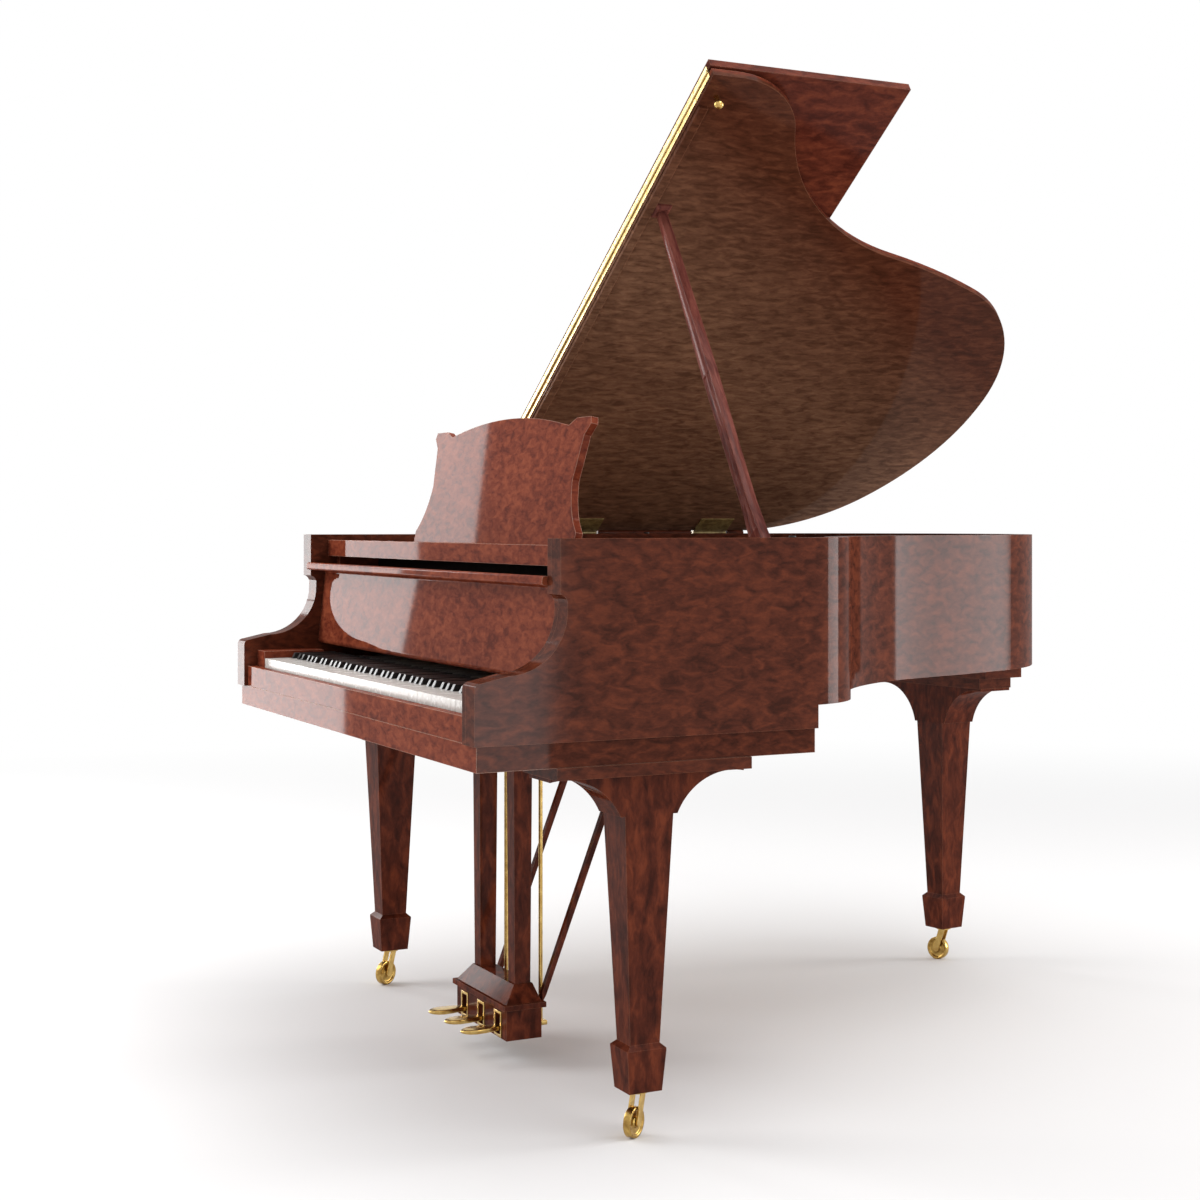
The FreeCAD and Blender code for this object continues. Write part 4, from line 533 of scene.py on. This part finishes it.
def soften(piece, width, segments, angle):
    bpy.ops.object.mode_set(mode="OBJECT")
    rounding = piece.modifiers.new("rounding", "BEVEL")
    rounding.width = width
    rounding.segments = segments
    rounding.limit_method = "ANGLE"
    rounding.angle_limit = math.radians(angle)
    bpy.ops.object.modifier_apply(modifier=rounding.name)
    shadeSmooth(roundSmooth)


def settle(piece, turn, to):
    piece.rotation_euler = turn
    piece.location = to
    bpy.ops.object.transform_apply(location=True, rotation=True, scale=True)


def hand(piece, body, slot, finish, *replaced):
    piece.data.materials.clear()
    piece.data.materials.append(finishes[finish])
    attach(piece, body)
    for node in replaced:
        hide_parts(node)
    print("made", piece.name, len(piece.data.polygons), "faces")


def spread(master, spots):
    # copies of the master at each spot, joined to one piece; the master itself goes to the first
    bpy.ops.object.mode_set(mode="OBJECT")
    copies = []
    for spot in spots[1:]:
        bpy.ops.object.select_all(action="DESELECT")
        master.select_set(True)
        bpy.context.view_layer.objects.active = master
        bpy.ops.object.duplicate(linked=False)
        bpy.ops.transform.translate(value=spot)
        copies.append(bpy.context.object)
    bpy.ops.object.select_all(action="DESELECT")
    master.location = spots[0]
    for copy in copies + [master]:
        copy.select_set(True)
    bpy.context.view_layer.objects.active = master
    bpy.ops.object.join()
    bpy.ops.object.transform_apply(location=True, rotation=True, scale=True)


# Lid prop: a slim stick, swelled in the middle, with two flutes on each broad face of its lower part.
# Widths are given at heights along the stick, and ends are the widths at its foot and tip.
propStick = {
    "pivot": (0.6746, -0.2752, 0.972), "tip": (0.21255, -0.2482, 1.62104), "tipGap": 0.0015,
    "low": -0.013, "thick": 0.018, "ends": (0.03, 0.0145),
    "widths": ((0, 0.054), (0.045, 0.041), (0.105, 0.03), (0.22, 0.03), (0.4, 0.034), (0.58, 0.025),
               (0.72, 0.019)),
    "flutes": (0.045, 0.4), "steps": ((0.0022, 0), (0.0022, -0.0022)), "rounding": (0.0012, 2, 35),
}


def makeProp(look):
    pivot, tip = Vector(look["pivot"]), Vector(look["tip"])
    run = tip - pivot
    high = run.length - look["tipGap"]
    low = look["low"]
    piece = startPiece("propStick", bpy.ops.mesh.primitive_cube_add, (0, 0, (low + high) / 2),
                       (1, look["thick"], high - low), size=1)
    cutAcross([(0, 0, z) for z, width in look["widths"]], (0, 0, 1))
    cutAcross([(0, 0, 0)], (1, 0, 0))
    foot, head = look["ends"]
    for z, width in ((low, foot),) + look["widths"] + ((high, head),):
        chooseRing(piece, 2, z)
        bpy.ops.transform.resize(value=(width, 1, 1), center_override=(0, 0, z))
    start, end = look["flutes"]
    for side in (-1, 1):
        for face in (-1, 1):
            choose(piece, "FACE", lambda part: part.normal.y * face > squareOn
                   and part.center.x * side > 0 and start < part.center.z < end)
            insetBy(look["steps"])
    soften(piece, *look["rounding"])
    plan = math.atan2(run.y, -run.x)
    rise = math.atan2(run.z, math.hypot(run.x, run.y))
    settle(piece, (0, rise - math.pi / 2, -plan), pivot)
    hand(piece, "prop", "veneer", "prop", "lid_prop")


# Pedals: a stem that swells to a rounded toe, slightly domed. A ring is its place, width and share of depth.
pedalSet = {
    "places": (("left", -0.0794), ("middle", 0.0106), ("right", 0.1006)),
    "height": 0.064, "thick": 0.009, "stem": 0.021, "back": -0.443, "toe": -0.615, "toeRing": (0.004, 0.35),
    "rings": ((-0.613, 0.012, 0.5), (-0.608, 0.022, 0.75), (-0.6, 0.03, 0.95), (-0.588, 0.036, 1),
              (-0.57, 0.034, 1), (-0.549, 0.0235, 0.95), (-0.529, 0.021, 0.95)),
    "rounding": (0.0022, 3, 50),
}


def makePedals(look):
    middle = (look["back"] + look["toe"]) / 2
    long = look["back"] - look["toe"]
    for name, x in look["places"]:
        piece = startPiece("pedalBar" + name.title(), bpy.ops.mesh.primitive_cube_add,
                           (x, middle, look["height"]), (look["stem"], long, look["thick"]), size=1)
        cutAcross([(x, y, 0) for y, wide, deep in look["rings"]], (0, 1, 0))
        for y, wide, deep in ((look["toe"],) + look["toeRing"],) + look["rings"]:
            chooseRing(piece, 1, y)
            bpy.ops.transform.resize(value=(wide / look["stem"], 1, deep),
                                     center_override=(x, y, look["height"]))
        soften(piece, *look["rounding"])
        hand(piece, "pedal_" + name, "brass", "brass", "pedal_" + name)


# Brass plates round the pedal slots.
pedalPlate = {
    "face": -0.54, "low": 0.0475, "high": 0.0965, "wide": 0.037, "hole": 0.027, "holeReach": 0.004,
    "thick": 0.0016, "rounding": (0.0005, 2, 35),
}


def makePedalPlates(look):
    tall = look["high"] - look["low"]
    level = (look["high"] + look["low"]) / 2
    edge = (look["wide"] - look["hole"]) / 2
    for name, x in pedalSet["places"]:
        middle = Vector((x, look["face"], level))
        piece = startPiece("pedalPlate" + name.title(), bpy.ops.mesh.primitive_plane_add, middle,
                           (look["wide"], tall, 1), size=1, rotation=upright)
        chooseAll(piece)
        bpy.ops.mesh.inset(thickness=edge, depth=0)
        choose(piece, "FACE", lambda part: (part.center - middle).length < look["holeReach"])
        bpy.ops.mesh.delete(type="FACE")
        chooseAll(piece)
        bpy.ops.mesh.extrude_region_move(TRANSFORM_OT_translate={"value": (0, -look["thick"], 0)})
        chooseAll(piece)
        bpy.ops.mesh.normals_make_consistent(inside=False)
        soften(piece, *look["rounding"])
        hand(piece, "case", "brass", "brass")


# Caster wheels: a broad tread, dished webs and a raised hub with its nut, one inset step for each edge.
wheelShape = {
    "radius": 0.026, "width": 0.013, "sides": 48, "rounding": (0.0011, 2, 30),
    "steps": ((0.005, 0), (0.0015, -0.0028), (0.0105, 0), (0.0006, 0.0022), (0.003, 0)),
}


def makeWheels(look):
    for name in ("left", "right", "rear"):
        joint = joints["caster_%s_roll" % name]
        axis = Vector(joint["axis"]).normalized()
        piece = startPiece("casterWheel" + name.title(), bpy.ops.mesh.primitive_cylinder_add, (0, 0, 0),
                           vertices=look["sides"], radius=look["radius"], depth=look["width"])
        for side in (-1, 1):
            chooseFacing(piece, 2, side)
            insetBy(look["steps"])
        soften(piece, *look["rounding"])
        settle(piece, axis.to_track_quat("Z", "Y").to_euler(), joint["pos_m"])
        hand(piece, "wheel_" + name, "brass", "wheel", "caster_wheel_" + name)


# Bead that closes the lid's bass edge over its hinge line, left out at the two hinges.
lidBead = {
    "runs": ((-0.281, -0.067), (0.032, 0.281), (0.379, 0.425)), "radius": 0.0074, "sides": 24,
    "steps": ((0.003, 0),), "rounding": (0.0015, 2, 60),
}


def makeLidBead(look):
    for count, (front, back) in enumerate(look["runs"]):
        piece = startPiece("lidBead%d" % (count + 1), bpy.ops.mesh.primitive_cylinder_add,
                           (lidLine["x"], (front + back) / 2, lidLine["z"]), vertices=look["sides"],
                           radius=look["radius"], depth=back - front, rotation=upright)
        choose(piece, "FACE", lambda part: abs(part.normal.y) > squareOn)
        insetBy(look["steps"])
        soften(piece, *look["rounding"])
        hand(piece, "lid", "veneer", "side")


# Felt lip along the front of the plate, before the tuning pins, cut at shares of its half length.
pinLip = {
    "x": 0.0106, "half": 0.638, "front": -0.54, "thick": 0.004, "low": 0.9193, "high": 0.9505,
    "cuts": (-0.6, -0.2, 0.2, 0.6), "rounding": (0.0014, 3, 35),
}


def makePinLip(look):
    piece = startPiece("pinFieldLip", bpy.ops.mesh.primitive_cube_add,
                       (look["x"], look["front"] + look["thick"] / 2, (look["low"] + look["high"]) / 2),
                       (2 * look["half"], look["thick"], look["high"] - look["low"]), size=1)
    cutAcross([(look["x"] + share * look["half"], 0, 0) for share in look["cuts"]], (1, 0, 0))
    soften(piece, *look["rounding"])
    hand(piece, "case", "felt_wood", "darkFelt")


# Bolts with washers that hold the plate down round its edge, set by the plate's own outline: along each angle
# from the middle, inset from the farthest point of the plate's top.
plateBolt = {
    "angles": range(-40, 221, 20), "middle": (0.0, 0.05), "inset": 0.03, "top": 0.919, "level": 0.0006,
    "aim": 0.995, "radius": 0.011, "washer": 0.0024, "sides": 16,
    "steps": ((0.0035, 0), (0.0004, 0.006), (0.0012, 0.0012)), "smooth": 30,
}


def makePlateBolts(look):
    plate = [vert.co for vert in nodes["iron_plate"].data.vertices]
    rim = [spot for spot in plate if abs(spot.z - look["top"]) < look["level"]]
    middle = Vector(look["middle"] + (0,))
    spots = []
    for angle in look["angles"]:
        way = Vector((math.cos(math.radians(angle)), math.sin(math.radians(angle)), 0))
        near = [spot for spot in rim if (spot - middle).to_2d().normalized().dot(way.to_2d()) > look["aim"]]
        if near:
            far = max(near, key=lambda spot: (spot - middle).dot(way))
            reach = (far - middle).dot(way) - look["inset"]
            spot = middle + way * reach
            spots.append((spot.x, spot.y, look["top"]))
    piece = startPiece("plateBolts", bpy.ops.mesh.primitive_cylinder_add, (0, 0, look["washer"] / 2),
                       vertices=look["sides"], radius=look["radius"], depth=look["washer"])
    chooseFacing(piece, 2, 1)
    insetBy(look["steps"])
    shadeSmooth(look["smooth"])
    spread(piece, spots)
    hand(piece, "case", "gilt_iron", "gilt")


# Countersunk screws in both leaves of the strip hinge, a row along each at its rise above the hinge line.
hingeScrew = {
    "rises": (("lid", 0.0115), ("flap", 0.0293)), "face": -0.2879, "first": 0.05, "step": 0.085, "count": 17,
    "radius": 0.0024, "head": 0.0005, "sides": 10, "steps": ((0.0005, 0.00015), (0.0009, -0.00035)),
}


def makeHingeScrews(look):
    lean = math.radians(lidLine["open"])
    for body, rise in look["rises"]:
        spots = []
        for number in range(look["count"]):
            along = look["first"] + number * look["step"]
            spots.append((lidLine["x"] + along * math.cos(lean) - rise * math.sin(lean), look["face"],
                          lidLine["z"] + along * math.sin(lean) + rise * math.cos(lean)))
        piece = startPiece("hingeScrews" + body.title(), bpy.ops.mesh.primitive_cylinder_add, (0, 0, 0),
                           vertices=look["sides"], radius=look["radius"], depth=look["head"],
                           rotation=upright)
        chooseFacing(piece, 1, -1)
        insetBy(look["steps"])
        spread(piece, spots)
        hand(piece, body, "brass", "brass")


# Rubber buttons on the rim that the shut lid rests on.
lidButton = {
    "spots": ((0.7206, -0.245, 1), (-0.6994, -0.2, 1), (-0.6994, 0.15, 1)),
    "radius": 0.0065, "height": 0.0028, "sides": 20, "smooth": 50,
    "steps": ((0.0016, 0.0003), (0.002, -0.0005)),
}


def makeLidButtons(look):
    piece = startPiece("lidButtons", bpy.ops.mesh.primitive_cylinder_add, (0, 0, look["height"] / 2),
                       vertices=look["sides"], radius=look["radius"], depth=look["height"])
    chooseFacing(piece, 2, 1)
    insetBy(look["steps"])
    shadeSmooth(look["smooth"])
    spread(piece, look["spots"])
    hand(piece, "case", "key_black", "rubber")


makeProp(propStick)
makePedals(pedalSet)
makePedalPlates(pedalPlate)
makeWheels(wheelShape)
makeLidBead(lidBead)
makePinLip(pinLip)
makePlateBolts(plateBolt)
makeHingeScrews(hingeScrew)
makeLidButtons(lidButton)

# Floor: pale sheet that fades into the white ground away from the piano.
floorSheet = {
    "size": 60, "shade": rgb(226, 225, 225), "middle": (0.6, -0.6), "fade": (2.2, 6.5),
    "fleck": 300, "rough": (0.75, 0.1), "gloss": 0.15,
}


def layFloor(look):
    bpy.ops.object.select_all(action="DESELECT")
    bpy.ops.mesh.primitive_plane_add(size=look["size"], location=(0, 0, 0))
    sheet = bpy.context.object
    sheet.name = "floorSheet"
    board = newBoard("floorPaper")
    across = board.axis("X") - look["middle"][0]
    along = board.axis("Y") - look["middle"][1]
    reach = board.node("ShaderNodeMath", {"operation": "SQRT"}, {0: across * across + along * along})
    fade = board.span(reach, look["fade"], "SMOOTHSTEP") * board.shown()
    fleck = board.noise(board.place(), look["fleck"])
    paper = board.node("ShaderNodeBsdfPrincipled", {}, {
        "Base Color": look["shade"], "Roughness": varied(look["rough"], fleck),
        "Specular IOR Level": look["gloss"]})
    glow = board.node("ShaderNodeEmission", {}, {"Color": plainWhite, "Strength": 1})
    surface = board.node("ShaderNodeMixShader", {}, {0: fade, 1: paper, 2: glow})
    board.node("ShaderNodeOutputMaterial", {}, {"Surface": surface})
    sheet.data.materials.append(board.owner)


layFloor(floorSheet)

# Light: white ground to the eye and in reflections, soft fill elsewhere, and softboxes.
roomLight = {"ground": 1, "fill": 0.78}
softboxes = {
    "frontBox": {"at": (-2.6, -3.6, 2.6), "to": (0, -0.6, 0.8), "size": (2.4, 2.4), "power": 95},
    "overBox": {"at": (0.3, 0.2, 4.2), "to": (0.2, 0, 0.6), "size": (3, 3), "power": 70},
    "innerBox": {"at": (1.7, 0.3, 3.2), "to": (0.2, 0.1, 0.9), "size": (1, 1), "power": 14},
    "boardPanel": {"at": (-5.5, -2.01, 0.7), "to": (0, -2.01, 0.7), "size": (1.0, 1.5), "power": 50},
    "deskPanel": {"at": (-5.5, -1.8, 2.15), "to": (0, -1.8, 2.15), "size": (1.0, 1.3), "power": 40,
                  "roll": 15},
    "tailPanel": {"at": (1.88, 5.3, 1.2), "to": (1.88, 0, 1.2), "size": (2.1, 2.6), "power": 180},
    "armPanel": {"at": (5.0, 0.75, 0.9), "to": (0.7, -0.7, 0.9), "size": (0.6, 1.8), "power": 18},
}


def lightRoom(look):
    world = bpy.data.worlds.new("studioRoom")
    bpy.context.scene.world = world
    board = Board(world)
    ground = board.node("ShaderNodeBackground", {}, {"Color": plainWhite, "Strength": look["ground"]})
    fill = board.node("ShaderNodeBackground", {}, {"Color": plainWhite, "Strength": look["fill"]})
    both = board.node("ShaderNodeMixShader", {}, {0: board.shown(), 1: fill, 2: ground})
    board.node("ShaderNodeOutputWorld", {}, {"Surface": both})


def hangBoxes(boxes):
    for name, box in boxes.items():
        lamp = bpy.data.lights.new(name, "AREA")
        lamp.shape = "RECTANGLE"
        lamp.size, lamp.size_y = box["size"]
        lamp.energy = box["power"]
        stand = bpy.data.objects.new(name, lamp)
        stand.location = box["at"]
        facing = (Vector(box["to"]) - Vector(box["at"])).to_track_quat("-Z", "Y")
        roll = Quaternion((0, 0, 1), math.radians(box.get("roll", 0)))
        stand.rotation_euler = (facing @ roll).to_euler()
        bpy.context.scene.collection.objects.link(stand)


lightRoom(roomLight)
hangBoxes(softboxes)

viewpoint = {
    "at": (3.7736, -1.9608, 1.0235), "turn": 60.716, "sensor": 36, "lens": 61.36, "shift": (-0.1587, -0.0635),
}


def setCamera(look):
    eye = bpy.data.cameras.new("photoView")
    eye.sensor_width = look["sensor"]
    eye.lens = look["lens"]
    eye.shift_x, eye.shift_y = look["shift"]
    stand = bpy.data.objects.new("photoView", eye)
    stand.location = look["at"]
    stand.rotation_euler = (math.radians(90), 0, math.radians(look["turn"]))
    bpy.context.scene.collection.objects.link(stand)
    bpy.context.scene.camera = stand
    bpy.context.scene.view_settings.view_transform = "Standard"


setCamera(viewpoint)
print("floor, lights and camera set")
